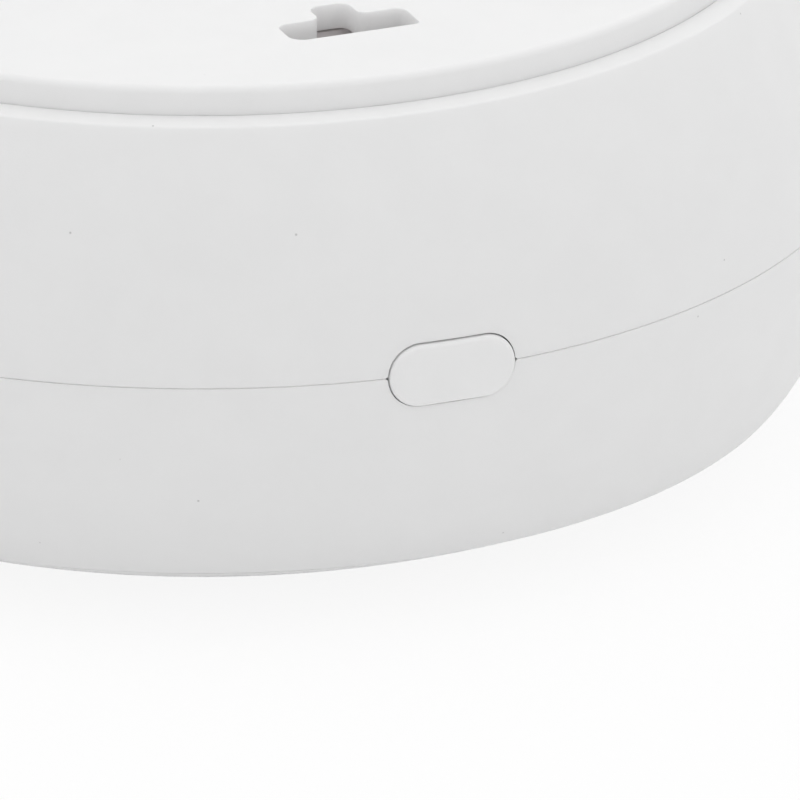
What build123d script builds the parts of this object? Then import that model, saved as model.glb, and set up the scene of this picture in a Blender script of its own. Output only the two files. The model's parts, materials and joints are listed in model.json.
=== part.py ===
from build123d import *
from math import asin, cos, degrees, radians, sin, sqrt
import os

# Round battery sensor for temperature and humidity, in millimetres.
# It stands on its flat front face: the origin is at the centre of that face and +Z points to
# the battery door on the rear. The button is at -Y and the vents are opposite it, at +Y.

# Rear shell
rear_arc_radius = 23.2
rim_drop = 0.15
rim_width = 0.954
rim_edge_round = 0.2
wall = 1.6
lap_depth = 1.2
lap_thickness = 0.7
lap_clearance = 0.1
ledge_depth = 1.5
ledge_width = 1.08
ledge_thickness = 1.6
seam_edge = 0.04

# Front shell and front cap
front_arc_radius = 21.2
front_arc_angle = 23.0
turn_radius = 7.0
turn_angle = 40.0
bevel_height = 3.35
floor_thickness = 1.2
front_face_inset = 9.534
shoulder_inset = 6.634
shoulder_rise = 0.5
bevel_crown = 0.12
cap_inset = 0.28
cap_reveal = 0.13
cap_rim_step = 0.5
cap_rim_width = 1.8
cap_thickness = 1.4
hook_inset = 5.634
hook_width = 4.0
hook_thickness = 1.0
hook_count = 4
hook_catch = 0.5
hook_nose = 0.9
hook_clearance = 0.15

# Battery door
door_gap = 0.12
door_rise = 1.35
door_plate = 1.2
door_skirt = 1.05
door_edge_round = 0.33
door_seat_gap = 0.02
window_bar_length = 6.14
window_bar_width = 2.15
window_bar_inset = 6.695
window_tab_width = 1.89
window_tab_length = 1.53
window_shift = -0.7
window_left_corner = 0.7
window_right_corner = 0.3
window_far_corner = 0.54
window_inner_corner = 0.45
window_edge_round = 0.05
hinge_hook_width = 6.0
hinge_hook_reach = 0.5
hinge_hook_height = 0.9
lip_thickness = 1.2
hook_play = 0.2
pocket_play = 0.25
door_rib = 1.0
door_rib_depth = 1.2
door_rib_gap = 2.65
door_rib_pitch = 5.0
door_rib_count = 2

# Door latch
latch_width = 9.0
latch_thickness = 0.8
latch_length = 4.4
latch_bite = 0.45
latch_wall = 0.8
latch_wall_width = 3.0
latch_play = 0.15
stake_radius = 0.9
stake_boss_radius = 1.7
stake_setback = 1.8
stake_spacing = 5.4
stake_head = 0.4
stake_head_radius = 1.3
stake_head_taper = 20.0

# Cells and contacts
cell_radius = 5.25
cell_length = 44.5
cell_nub_radius = 1.9
cell_nub_length = 0.8
cell_edge_round = 0.4
cell_pitch = 10.9
cell_headroom = 0.85
cell_clearance = 0.15
contact_space = 1.3
contact_strip = 0.3
contact_width = 7.0
contact_height = 6.6
contact_bump_radius = 1.8
contact_tail_width = 2.0
contact_tail_end = 0.6
leaf_width = 4.0
foam_thickness = 0.5
foam_width = 6.0
foam_length = 30.0

# Battery tray
tray_rim = 0.451
tray_shell_gap = 0.3
tray_deck = 1.2
tray_foot = 2.8
trough_wall = 1.2
trough_floor = 0.7
trough_board_gap = 1.45
slot_clearance = 0.1

# Circuit board
board_edge_gap = 1.4
board_thickness = 1.0
board_drop = 2.0

# Tray screws
screw_inset = 4.0
screw_angle = 40.0
screw_radius = 1.0
screw_head_radius = 1.9
screw_head_height = 1.3
screw_head_gap = 0.2
screw_length = 7.5
screw_clearance = 0.05
screw_recess_width = 0.5
screw_recess_depth = 0.8
post_wall = 0.9
boss_wall = 1.4

# Button and switch
button_width = 6.06
button_height = 2.95
button_gap = 0.05
button_edge_round = 0.25
button_face_sweep = 90.0
button_travel = 0.4
button_proud = 0.2
button_flange = 0.8
button_flange_lip = 0.6
button_flange_play = 0.16
stem_width = 3.0
stem_height = 2.0
stem_gap = 0.1
switch_width = 6.0
switch_depth = 3.5
switch_height = 3.5
switch_edge_round = 0.2
switch_setback = 3.2
plunger_radius = 0.9
plunger_reach = 0.9
plunger_hidden = 0.9
plunger_clearance = 0.05
guide_width = 9.0
guide_height = 4.2
guide_thickness = 0.5
guide_play = 0.12
guide_gap = 0.2
guide_foot_width = 1.1
guide_foot_length = 1.7

# Vents and the sensor board behind them
vent_count = 5
vent_pitch = 1.6
vent_width = 0.8
vent_margin = 0.1
sensor_board_setback = 4.2
sensor_board_thickness = 0.8
sensor_board_width = 12.0
sensor_board_lift = 0.348
sensor_board_drop = 0.8
sensor_chip_size = 2.5
sensor_chip_thickness = 0.9
sensor_port_radius = 0.5
sensor_port_depth = 0.3
gasket_width = 9.8
gasket_frame = 1.0
gasket_lift = 0.248
gasket_pin_gap = 0.2
mesh_thickness = 0.2
soft_gap = 0.05
rail_width = 2.0
rail_depth = 2.8
rail_groove = 0.9
rail_drop = 2.5

# Header between the boards
pin_count = 4
pin_pitch = 1.5
pin_size = 0.4
pin_lift = 0.6
pin_end = 0.4
pin_clearance = 0.05
header_length = 6.6
header_depth = 2.4
header_height = 1.4
notch_gap = 0.6

# Light pipe and indicator
pipe_radius = 1.0
pipe_inset = 3.7
pipe_gap = 0.03
pipe_recess = 0.05
pipe_flange = 0.8
pipe_flange_lip = 0.7
led_length = 1.6
led_width = 1.2
led_height = 0.6
led_gap = 0.3

# Parts soldered to the circuit board
radio_x = -2.0
radio_y = 5.0
shield_length = 14.0
shield_width = 11.0
shield_height = 2.2
shield_sheet = 0.2
controller_size = 6.0
controller_height = 0.9
crystal_length = 3.2
crystal_width = 2.5
crystal_height = 0.8
crystal_x = 9.5
big_capacitor_radius = 2.5
big_capacitor_height = 4.2
big_capacitor_base = 0.9
big_capacitor_x = 13.0
big_capacitor_y = -7.0
chip_length = 1.6
chip_width = 0.8
chip_height = 0.6
chip_pitch_x = 2.6
chip_pitch_y = 1.8
chip_x = -14.5
chip_y = 4.5
antenna_arm = 10.0
antenna_feed = 2.5
antenna_rise = 2.4
antenna_strip = 0.3
antenna_width = 1.2
antenna_x = -12.0
antenna_inset = 7.2

# The housing is as wide as the corners of the cell trough need, and as high as the cells need
cell_end = cell_length / 2
trough_end = cell_end + contact_space
trough_half_width = cell_pitch / 2 + cell_radius + cell_clearance
tray_radius = sqrt(trough_end**2 + trough_half_width**2) + tray_rim
cell_stack = trough_board_gap + trough_floor + cell_clearance + 2 * cell_radius + cell_headroom
rim_height = cell_stack + door_plate - door_rise - board_drop
rim_angle = degrees(asin((rim_height - rim_drop) / rear_arc_radius))
rim_outer_radius = tray_radius - tray_shell_gap + rim_width
seam_radius = rim_outer_radius + rear_arc_radius * (1 - cos(radians(rim_angle)))
door_opening_radius = rim_outer_radius - rim_width

# Places that follow from the sizes above
front_centre = seam_radius - front_arc_radius
rear_centre = seam_radius - rear_arc_radius
turn_centre = front_centre + (front_arc_radius - turn_radius) * cos(radians(front_arc_angle))
turn_drop = (front_arc_radius - turn_radius) * sin(radians(front_arc_angle))
crease_radius = turn_centre + turn_radius * cos(radians(turn_angle))
crease_drop = turn_drop + turn_radius * sin(radians(turn_angle))
crease_z = bevel_height
seam_z = crease_z + crease_drop
floor_top = crease_z + floor_thickness
inner_seam_radius = seam_radius - wall

front_face_radius = crease_radius - front_face_inset
shoulder_radius = crease_radius - shoulder_inset
hook_radius = crease_radius - hook_inset
pipe_distance = front_face_radius - pipe_inset

rim_z = seam_z + rim_height
ledge_z = rim_z - ledge_depth
ledge_inner_radius = door_opening_radius - ledge_width
ledge_bottom = ledge_z - ledge_thickness
lip_bottom = rim_z - lip_thickness

door_radius = door_opening_radius - door_gap
door_top = rim_z + door_rise
door_underside = door_top - door_plate
skirt_bottom = ledge_z + door_seat_gap
skirt_inner_radius = door_radius - door_skirt
window_bar_radius = door_radius - window_bar_inset
window_bar_edge = window_bar_radius - window_bar_width / 2
tab_tip_radius = window_bar_edge - window_tab_length
latch_root_radius = tab_tip_radius - latch_length
latch_top = lip_bottom - latch_play
latch_bottom = latch_top - latch_thickness
stake_y = -latch_root_radius - stake_setback

tray_top = ledge_bottom
cell_axis_z = door_underside - cell_headroom - cell_radius
trough_bottom = cell_axis_z - cell_radius - cell_clearance - trough_floor
contact_top = tray_top - 2 * slot_clearance
contact_bottom = contact_top - contact_height
contact_x = trough_end - contact_strip / 2

board_radius = inner_seam_radius - board_edge_gap
board_top = seam_z - board_drop
board_bottom = board_top - board_thickness
screw_seat = board_top + tray_foot
screw_x = (board_radius - screw_inset) * cos(radians(screw_angle))
screw_y = (board_radius - screw_inset) * sin(radians(screw_angle))
screw_hole_radius = screw_radius + screw_clearance
post_radius = screw_head_radius + screw_head_gap + post_wall
boss_radius = screw_hole_radius + boss_wall

button_z = seam_z
switch_front = inner_seam_radius - switch_setback
stem_end = switch_front + plunger_reach + stem_gap
flange_width = button_width + 2 * button_flange_lip
flange_height = button_height + 2 * button_flange_lip
flange_outer = sqrt(inner_seam_radius**2 - (flange_width / 2) ** 2) - button_flange_play
flange_inner = flange_outer - button_flange
guide_outer = flange_inner - button_travel - guide_gap
guide_inner = guide_outer - guide_thickness
bore_depth = plunger_hidden + button_travel + stem_gap

sensor_board_y = inner_seam_radius - sensor_board_setback
sensor_board_top = seam_z - sensor_board_drop
sensor_board_bottom = floor_top + sensor_board_lift
sensor_board_height = sensor_board_top - sensor_board_bottom
sensor_board_face = sensor_board_y + sensor_board_thickness
notch_y = sensor_board_y - notch_gap
pin_z = board_top + pin_lift
gasket_bottom = floor_top + gasket_lift
gasket_height = pin_z - pin_size / 2 - gasket_pin_gap - gasket_bottom
vent_z = gasket_bottom + gasket_height / 2
vent_height = gasket_height - 2 * gasket_frame - 2 * vent_margin
header_y = notch_y - pin_lift - header_depth
pin_root_y = header_y + header_depth / 2
antenna_y = antenna_inset - board_radius
led_bottom = board_bottom - led_height
pipe_top = led_bottom - led_gap

# How sketches and boxes are lined up
BOTTOM = (Align.CENTER, Align.CENTER, Align.MIN)
TOP = (Align.CENTER, Align.CENTER, Align.MAX)


def pill(width, height):
    """Pill outline: straight top and bottom, round ends."""
    with BuildSketch() as outline:
        SlotOverall(width, height)
    return outline.sketch


def button_opening():
    """Outline of the button's opening, which straddles the seam."""
    with BuildSketch() as outline:
        with Locations((0, button_z)):
            add(pill(button_width + 2 * button_gap, button_height + 2 * button_gap))
    return outline.sketch


def front_area(inset=0.0):
    """Half section of all that lies inside the front shell's side, down to the crease."""
    with BuildSketch() as area:
        with BuildLine():
            side = CenterArc((front_centre, seam_z), front_arc_radius - inset, 0, -front_arc_angle)
            turn = CenterArc(
                (turn_centre, seam_z - turn_drop),
                turn_radius - inset,
                -front_arc_angle,
                front_arc_angle - turn_angle,
            )
            Polyline(turn @ 1, (0, (turn @ 1).Y), (0, seam_z), side @ 0)
        make_face()
    return area.sketch


def window_outline():
    """T-shaped window of the door: a bar across, with a tab that points to the centre."""
    tab_length = window_tab_length + window_bar_width / 2
    with BuildSketch() as outline:
        with Locations((window_shift, -window_bar_radius)):
            Rectangle(window_bar_length, window_bar_width)
        with Locations((window_shift, -tab_tip_radius)):
            Rectangle(window_tab_width, tab_length, align=(Align.CENTER, Align.MAX))
        near_y = -window_bar_radius - window_bar_width / 2
        for half_width, y, left_radius, right_radius in (
            (window_bar_length / 2, near_y, window_left_corner, window_right_corner),
            (window_bar_length / 2, -window_bar_edge, window_far_corner, window_far_corner),
            (window_tab_width / 2, -window_bar_edge, window_inner_corner, window_inner_corner),
            (window_tab_width / 2, -tab_tip_radius, window_far_corner, window_far_corner),
        ):
            left_corner = outline.vertices().sort_by_distance((window_shift - half_width, y))[0]
            fillet(left_corner, left_radius)
            right_corner = outline.vertices().sort_by_distance((window_shift + half_width, y))[0]
            fillet(right_corner, right_radius)
    return outline.sketch


def pocket_outline(side, width, outer):
    """Pocket behind the ledge, at the far (+1) or the near (-1) side of the opening."""
    inner = ledge_inner_radius - wall
    with BuildSketch() as outline:
        with Locations((0, side * (inner + 2 * outer) / 2)):
            Rectangle(width, 2 * outer - inner)
        Circle(outer, mode=Mode.INTERSECT)
    return outline.sketch


def screw_points(z=0.0):
    """The four places of the tray screws."""
    return [(x, y, z) for x in (-screw_x, screw_x) for y in (-screw_y, screw_y)]


def radial_plane(index, count):
    """Upright plane through the centre line, its first axis pointing outward."""
    angle = radians(360 * index / count)
    return Plane(origin=(0, 0, 0), x_dir=(cos(angle), sin(angle), 0), z_dir=(sin(angle), -cos(angle), 0))


def save(part, name):
    """Label a finished piece and write it."""
    part.label = name
    export_step(part, f"parts/{name}.step")


os.makedirs("parts", exist_ok=True)

# Rear shell: side, rim ring, ledge for the door, and the tongue of the lap joint
with BuildPart() as rear_shell:
    with BuildSketch(Plane.XZ) as rear_section:
        with BuildLine():
            edge_angle = degrees(asin(seam_edge / rear_arc_radius))
            inner_arc_radius = rear_arc_radius - wall
            ledge_angle = degrees(asin((ledge_bottom - seam_z) / inner_arc_radius))
            tongue_radius = inner_seam_radius + lap_thickness
            side = CenterArc((rear_centre, seam_z), rear_arc_radius, edge_angle, rim_angle - edge_angle)
            inside = CenterArc((rear_centre, seam_z), inner_arc_radius, 0, ledge_angle)
            Polyline(
                side @ 1,
                (door_opening_radius, rim_z),
                (door_opening_radius, ledge_z),
                (ledge_inner_radius, ledge_z),
                (ledge_inner_radius, ledge_bottom),
                inside @ 1,
            )
            Polyline(
                inside @ 0,
                (inner_seam_radius, seam_z - lap_depth),
                (tongue_radius, seam_z - lap_depth),
                (tongue_radius, seam_z),
                (seam_radius - seam_edge, seam_z),
                side @ 0,
            )
        make_face()
        rim_corner = rear_section.vertices().sort_by_distance((rim_outer_radius, rim_z))[0]
        fillet(rim_corner, rim_edge_round)
    revolve(axis=Axis.Z)
    with BuildSketch(Plane.XY.offset(lip_bottom)):
        hook_pocket_width = hinge_hook_width + 2 * hook_play
        hook_pocket_radius = door_opening_radius + hinge_hook_reach + pocket_play
        add(pocket_outline(1, hook_pocket_width, hook_pocket_radius))
    extrude(amount=-hinge_hook_height - 2 * hook_play, mode=Mode.SUBTRACT)
    with BuildSketch(Plane.XY.offset(lip_bottom)):
        latch_pocket_width = latch_width + 4 * latch_play
        latch_pocket_radius = door_opening_radius + latch_bite + latch_play
        add(pocket_outline(-1, latch_pocket_width, latch_pocket_radius))
    extrude(amount=-latch_thickness - 3 * latch_play, mode=Mode.SUBTRACT)
    with BuildSketch(Plane.XZ.offset(inner_seam_radius - wall)):
        add(button_opening())
    extrude(amount=3 * wall, mode=Mode.SUBTRACT)
save(rear_shell.part, "rear_shell")

# Front shell: side, floor, screw bosses, vents, and the rails of the sensor board
with BuildPart() as front_shell:
    with BuildSketch(Plane.XZ) as front_section:
        add(front_area())
        seam_corner = front_section.vertices().sort_by_distance((seam_radius, seam_z))[0]
        chamfer(seam_corner, seam_edge)
    revolve(axis=Axis.Z)
    with BuildSketch(Plane.XZ):
        add(front_area(wall))
        with Locations((0, floor_top)):
            half_plane = 4 * seam_radius
            Rectangle(half_plane, half_plane, align=(Align.CENTER, Align.MIN), mode=Mode.INTERSECT)
    revolve(axis=Axis.Z, mode=Mode.SUBTRACT)
    with BuildSketch(Plane.XY.offset(seam_z)):
        Circle(inner_seam_radius + lap_thickness + lap_clearance)
    extrude(amount=-lap_depth - lap_clearance, mode=Mode.SUBTRACT)
    with BuildSketch(Plane.XY.offset(floor_top)):
        with Locations(screw_points()):
            Circle(boss_radius)
    extrude(amount=board_bottom - floor_top)
    with Locations(screw_points(board_bottom)):
        Hole(screw_hole_radius, depth=board_bottom - floor_top)
    with BuildSketch(Plane.XY.offset(floor_top)):
        rail_x = sensor_board_width / 2 - rail_groove + rail_width / 2
        rail_y = sensor_board_y + sensor_board_thickness / 2
        with Locations((-rail_x, rail_y), (rail_x, rail_y)):
            Rectangle(rail_width, rail_depth)
    extrude(amount=sensor_board_top - rail_drop - floor_top)
    with Locations((0, rail_y, sensor_board_bottom - soft_gap)):
        groove_width = sensor_board_width + 2 * soft_gap
        groove_depth = sensor_board_thickness + 2 * soft_gap
        Box(groove_width, groove_depth, sensor_board_height, align=BOTTOM, mode=Mode.SUBTRACT)
    with BuildSketch(Plane.XZ.offset(-sensor_board_face - gasket_frame)):
        with Locations((0, vent_z)):
            with GridLocations(vent_pitch, 0, vent_count, 1):
                SlotOverall(vent_height, vent_width, rotation=90)
    extrude(amount=-seam_radius, mode=Mode.SUBTRACT)
    with BuildSketch(Plane.XY.offset(crease_z)):
        with PolarLocations(hook_radius + hook_catch / 2, hook_count):
            slot_length = hook_thickness + hook_catch + 2 * hook_clearance
            Rectangle(slot_length, hook_width + 2 * hook_clearance)
        with Locations((0, -pipe_distance)):
            Circle(pipe_radius + slot_clearance)
    extrude(amount=floor_thickness, mode=Mode.SUBTRACT)
    with BuildSketch(Plane.XZ.offset(inner_seam_radius - wall)):
        add(button_opening())
    extrude(amount=3 * wall, mode=Mode.SUBTRACT)
save(front_shell.part, "front_shell")

# Front cap: flat face, crowned bevel up to the crease, and four snap hooks
with BuildPart() as front_cap:
    with BuildSketch(Plane.XZ):
        with BuildLine():
            cap_edge_radius = crease_radius - cap_inset
            cap_edge_z = crease_z - cap_reveal
            cap_step_radius = cap_edge_radius - cap_rim_step
            middle_radius = (shoulder_radius + cap_edge_radius) / 2
            middle_z = (shoulder_rise + cap_edge_z) / 2 - bevel_crown
            Line((0, 0), (front_face_radius, 0))
            TangentArc((front_face_radius, 0), (shoulder_radius, shoulder_rise), tangent=(1, 0))
            ThreePointArc(
                (shoulder_radius, shoulder_rise),
                (middle_radius, middle_z),
                (cap_edge_radius, cap_edge_z),
            )
            Polyline(
                (cap_edge_radius, cap_edge_z),
                (cap_step_radius, cap_edge_z),
                (cap_step_radius, crease_z),
                (cap_step_radius - cap_rim_width, crease_z),
                (front_face_radius + cap_thickness, cap_thickness),
                (0, cap_thickness),
                (0, 0),
            )
        make_face()
    revolve(axis=Axis.Z)
    for index in range(hook_count):
        with BuildSketch(radial_plane(index, hook_count)):
            with BuildLine():
                catch_z = floor_top + hook_clearance
                Polyline(
                    (hook_radius - hook_thickness / 2, cap_thickness),
                    (hook_radius - hook_thickness / 2, catch_z + hook_nose),
                    (hook_radius + hook_thickness / 2, catch_z + hook_nose),
                    (hook_radius + hook_thickness / 2 + hook_catch, catch_z),
                    (hook_radius + hook_thickness / 2, catch_z),
                    (hook_radius + hook_thickness / 2, cap_thickness),
                    close=True,
                )
            make_face()
        extrude(amount=hook_width / 2, both=True)
    with Locations((0, -pipe_distance, cap_thickness)):
        Hole(pipe_radius + pipe_gap, depth=cap_thickness)
save(front_cap.part, "front_cap")

# Battery door: raised disc with a skirt, its T-shaped window, hinge hook, ribs and stakes
with BuildPart() as battery_door:
    with BuildSketch(Plane.XZ) as door_section:
        with BuildLine():
            Polyline(
                (0, door_top),
                (door_radius, door_top),
                (door_radius, skirt_bottom),
                (skirt_inner_radius, skirt_bottom),
                (skirt_inner_radius, door_underside),
                (0, door_underside),
                close=True,
            )
        make_face()
        door_corner = door_section.vertices().sort_by_distance((door_radius, door_top))[0]
        fillet(door_corner, door_edge_round)
    revolve(axis=Axis.Z)
    with BuildSketch(Plane.XY.offset(door_underside)):
        for index in range(door_rib_count):
            rib_y = trough_half_width + door_rib_gap + index * door_rib_pitch
            with Locations((0, rib_y)):
                Rectangle(2 * door_radius, door_rib)
        rib_x = latch_width / 2 + door_rib
        with Locations((-rib_x, -latch_root_radius), (rib_x, -latch_root_radius)):
            Rectangle(door_rib, door_radius, align=(Align.CENTER, Align.MAX))
        Circle(door_radius - door_skirt / 2, mode=Mode.INTERSECT)
    extrude(amount=-door_rib_depth)
    with BuildSketch(Plane.XY.offset(door_underside)):
        with Locations((0, stake_y)):
            with GridLocations(stake_spacing, 0, 2, 1):
                Circle(stake_boss_radius)
    extrude(amount=latch_top - door_underside)
    with BuildSketch(Plane.XY.offset(latch_top)):
        with Locations((0, stake_y)):
            with GridLocations(stake_spacing, 0, 2, 1):
                Circle(stake_radius)
    extrude(amount=-latch_thickness)
    with BuildSketch(Plane.XY.offset(latch_bottom)):
        with Locations((0, stake_y)):
            with GridLocations(stake_spacing, 0, 2, 1):
                Circle(stake_head_radius)
    extrude(amount=-stake_head, taper=stake_head_taper)
    with BuildSketch(Plane.XY.offset(door_underside)):
        add(window_outline())
    extrude(amount=door_plate, mode=Mode.SUBTRACT)
    window_edge = battery_door.faces().sort_by(Axis.Z)[-1].inner_wires()[0].edges()
    fillet(window_edge, window_edge_round)
    with BuildSketch(Plane.XY.offset(skirt_bottom)):
        with Locations((0, -skirt_inner_radius + door_skirt)):
            skirt_notch = latch_width + 2 * latch_play
            Rectangle(skirt_notch, 3 * door_skirt, align=(Align.CENTER, Align.MAX))
    extrude(amount=latch_top + latch_play - skirt_bottom, mode=Mode.SUBTRACT)
    hook_top = lip_bottom - hook_play
    hook_tip = door_opening_radius + hinge_hook_reach
    with BuildSketch(Plane.XY.offset(door_underside)):
        with Locations((0, skirt_inner_radius)):
            Rectangle(hinge_hook_width, door_skirt, align=(Align.CENTER, Align.MIN))
        Circle(door_radius, mode=Mode.INTERSECT)
    extrude(amount=hook_top - hinge_hook_height - door_underside)
    with Locations((0, (skirt_inner_radius + hook_tip) / 2, hook_top)):
        Box(hinge_hook_width, hook_tip - skirt_inner_radius, hinge_hook_height, align=TOP)
save(battery_door.part, "battery_door")

# Door latch: a spring tongue on two stakes, its nose under the rim, its wall behind the window
with BuildPart() as door_latch:
    with BuildSketch(Plane.XY.offset(latch_bottom)):
        with Locations((0, -latch_root_radius)):
            Rectangle(latch_width, door_opening_radius, align=(Align.CENTER, Align.MAX))
        Circle(door_opening_radius + latch_bite, mode=Mode.INTERSECT)
        with Locations((0, stake_y)):
            with GridLocations(stake_spacing, 0, 2, 1):
                Circle(stake_radius + slot_clearance / 2, mode=Mode.SUBTRACT)
    extrude(amount=latch_thickness)
    with Locations((window_shift, -tab_tip_radius + latch_play + latch_wall / 2, latch_top)):
        Box(latch_wall_width, latch_wall, door_underside - latch_top - latch_play, align=BOTTOM)
save(door_latch.part, "door_latch")

# Foam strips under the door, over the cells
with BuildPart() as door_foam:
    with Locations((0, 0, door_underside)):
        with GridLocations(0, cell_pitch, 1, 2):
            Box(foam_length, foam_width, foam_thickness, align=TOP)
save(door_foam.part, "door_foam")

# Battery tray: deck under the ledge, trough for the cells, and posts for the screws
with BuildPart() as battery_tray:
    with BuildSketch(Plane.XY.offset(tray_top)):
        Circle(tray_radius)
    extrude(amount=-tray_deck)
    with BuildSketch(Plane.XY.offset(tray_top)):
        Rectangle(2 * (trough_end + trough_wall), 2 * (trough_half_width + trough_wall))
        Circle(tray_radius, mode=Mode.INTERSECT)
    extrude(amount=trough_bottom - tray_top)
    with BuildSketch(Plane.XY.offset(tray_top)):
        with Locations(screw_points()):
            Circle(post_radius)
    extrude(amount=board_top - tray_top)
    with Locations((0, 0, cell_axis_z)):
        Box(2 * trough_end, 2 * trough_half_width, 2 * cell_radius, align=BOTTOM, mode=Mode.SUBTRACT)
        with GridLocations(0, cell_pitch, 1, 2):
            groove_radius = cell_radius + cell_clearance
            Cylinder(groove_radius, 2 * trough_end, rotation=(0, 90, 0), mode=Mode.SUBTRACT)
    with Locations((-contact_x, 0, contact_bottom - slot_clearance)):
        pocket_x = contact_strip + 2 * slot_clearance
        bridge_pocket = cell_pitch + contact_width + 2 * slot_clearance
        Box(pocket_x, bridge_pocket, contact_height * 2, align=BOTTOM, mode=Mode.SUBTRACT)
    with Locations((contact_x, 0, contact_bottom - slot_clearance)):
        with GridLocations(0, cell_pitch, 1, 2):
            single_pocket = contact_width + 2 * slot_clearance
            Box(pocket_x, single_pocket, contact_height * 2, align=BOTTOM, mode=Mode.SUBTRACT)
    with Locations((contact_x, 0, trough_bottom)):
        with GridLocations(0, cell_pitch, 1, 2):
            tail_slot = contact_tail_width + 2 * slot_clearance
            Box(pocket_x, tail_slot, contact_height, mode=Mode.SUBTRACT)
    with Locations(screw_points(tray_top)):
        Hole(screw_head_radius + screw_head_gap, depth=tray_top - screw_seat)
    with Locations(screw_points(screw_seat)):
        Hole(screw_hole_radius, depth=tray_foot)
save(battery_tray.part, "battery_tray")


def cell(side):
    """One round cell along X, its raised end at +X (side 1) or at -X (side -1)."""
    body_length = cell_length - cell_nub_length
    with BuildPart() as can:
        with Locations((-side * cell_nub_length / 2, side * cell_pitch / 2, cell_axis_z)):
            Cylinder(cell_radius, body_length, rotation=(0, 90, 0))
        fillet(can.edges().filter_by(GeomType.CIRCLE), cell_edge_round)
        with Locations((side * (cell_end - cell_nub_length), side * cell_pitch / 2, cell_axis_z)):
            Cylinder(cell_nub_radius, 2 * cell_nub_length, rotation=(0, 90, 0))
    return can.part


with BuildPart() as battery_a:
    add(cell(1))
save(battery_a.part, "battery_a")

with BuildPart() as battery_b:
    add(cell(-1))
save(battery_b.part, "battery_b")


def contact_plate(side, width, y):
    """Flat plate against the end wall of the trough."""
    with Locations((side * contact_x, y, contact_bottom)):
        Box(contact_strip, width, contact_height, align=BOTTOM)


def contact_tail(side, y):
    """Tail that runs down from the plate and through the circuit board."""
    tail_bottom = board_bottom - contact_tail_end
    with Locations((side * contact_x, y, tail_bottom)):
        tail_height = contact_bottom - tail_bottom + contact_strip
        Box(contact_strip, contact_tail_width, tail_height, align=BOTTOM)


def contact_bump(side, y):
    """Pressed bump that meets the raised end of a cell."""
    reach = contact_space - contact_strip
    with Locations((side * (cell_end + reach / 2), y, cell_axis_z)):
        tip_radius = contact_bump_radius / 2
        Cone(contact_bump_radius, tip_radius, reach, rotation=(0, -90 * side, 0))


def leaf_outline(side):
    """Bent leaf that presses on the flat end of a cell, seen from the side."""
    touch = side * (cell_end + contact_strip)
    root_z = contact_bottom + contact_strip
    with BuildSketch() as outline:
        with BuildLine():
            Polyline(
                (side * contact_x, root_z),
                (touch, cell_axis_z),
                (side * (contact_x - contact_strip), contact_top - contact_strip),
            )
        trace(line_width=contact_strip)
    return outline.sketch


with BuildPart() as contact_positive:
    contact_plate(1, contact_width, cell_pitch / 2)
    contact_tail(1, cell_pitch / 2)
    contact_bump(1, cell_pitch / 2)
save(contact_positive.part, "contact_positive")

with BuildPart() as contact_negative:
    contact_plate(1, contact_width, -cell_pitch / 2)
    contact_tail(1, -cell_pitch / 2)
    with BuildSketch(Plane.XZ.offset(cell_pitch / 2)):
        add(leaf_outline(1))
    extrude(amount=leaf_width / 2, both=True)
save(contact_negative.part, "contact_negative")

with BuildPart() as contact_bridge:
    contact_plate(-1, cell_pitch + contact_width, 0)
    contact_bump(-1, -cell_pitch / 2)
    with BuildSketch(Plane.XZ.offset(-cell_pitch / 2)):
        add(leaf_outline(-1))
    extrude(amount=leaf_width / 2, both=True)
save(contact_bridge.part, "contact_bridge")

# Main circuit board: round, notched for the sensor board and the button, with its holes
with BuildPart() as main_board:
    with BuildSketch(Plane.XY.offset(board_bottom)):
        Circle(board_radius)
        with Locations((0, notch_y)):
            notch_width = sensor_board_width + 2 * notch_gap + 2 * rail_width
            Rectangle(notch_width, board_radius, align=(Align.CENTER, Align.MIN), mode=Mode.SUBTRACT)
        with Locations((0, -guide_outer)):
            button_notch = flange_width + 2 * notch_gap
            Rectangle(button_notch, board_radius, align=(Align.CENTER, Align.MAX), mode=Mode.SUBTRACT)
        with Locations(screw_points()):
            Circle(screw_hole_radius, mode=Mode.SUBTRACT)
        with Locations((contact_x, 0)):
            with GridLocations(0, cell_pitch, 1, 2):
                Rectangle(pocket_x, tail_slot, mode=Mode.SUBTRACT)
        with Locations((0, pin_root_y)):
            with GridLocations(pin_pitch, 0, pin_count, 1):
                pin_hole = pin_size + 2 * pin_clearance
                Rectangle(pin_hole, pin_hole, mode=Mode.SUBTRACT)
    extrude(amount=board_thickness)
save(main_board.part, "main_board")

# Parts on the underside of the circuit board
with BuildPart() as controller:
    with Locations((radio_x, radio_y, board_bottom)):
        Box(controller_size, controller_size, controller_height, align=TOP)
    chamfer(controller.edges().filter_by(Axis.Z).sort_by(Axis.X)[0], controller_height / 2)
save(controller.part, "controller")

with BuildPart() as shield_can:
    with Locations((radio_x, radio_y, board_bottom)):
        Box(shield_length, shield_width, shield_height, align=TOP)
        Box(
            shield_length - 2 * shield_sheet,
            shield_width - 2 * shield_sheet,
            shield_height - shield_sheet,
            align=TOP,
            mode=Mode.SUBTRACT,
        )
save(shield_can.part, "shield_can")

with BuildPart() as crystal:
    with Locations((crystal_x, radio_y, board_bottom)):
        Box(crystal_length, crystal_width, crystal_height, align=TOP)
    fillet(crystal.edges().filter_by(Axis.Z), crystal_height / 3)
save(crystal.part, "crystal")

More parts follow.
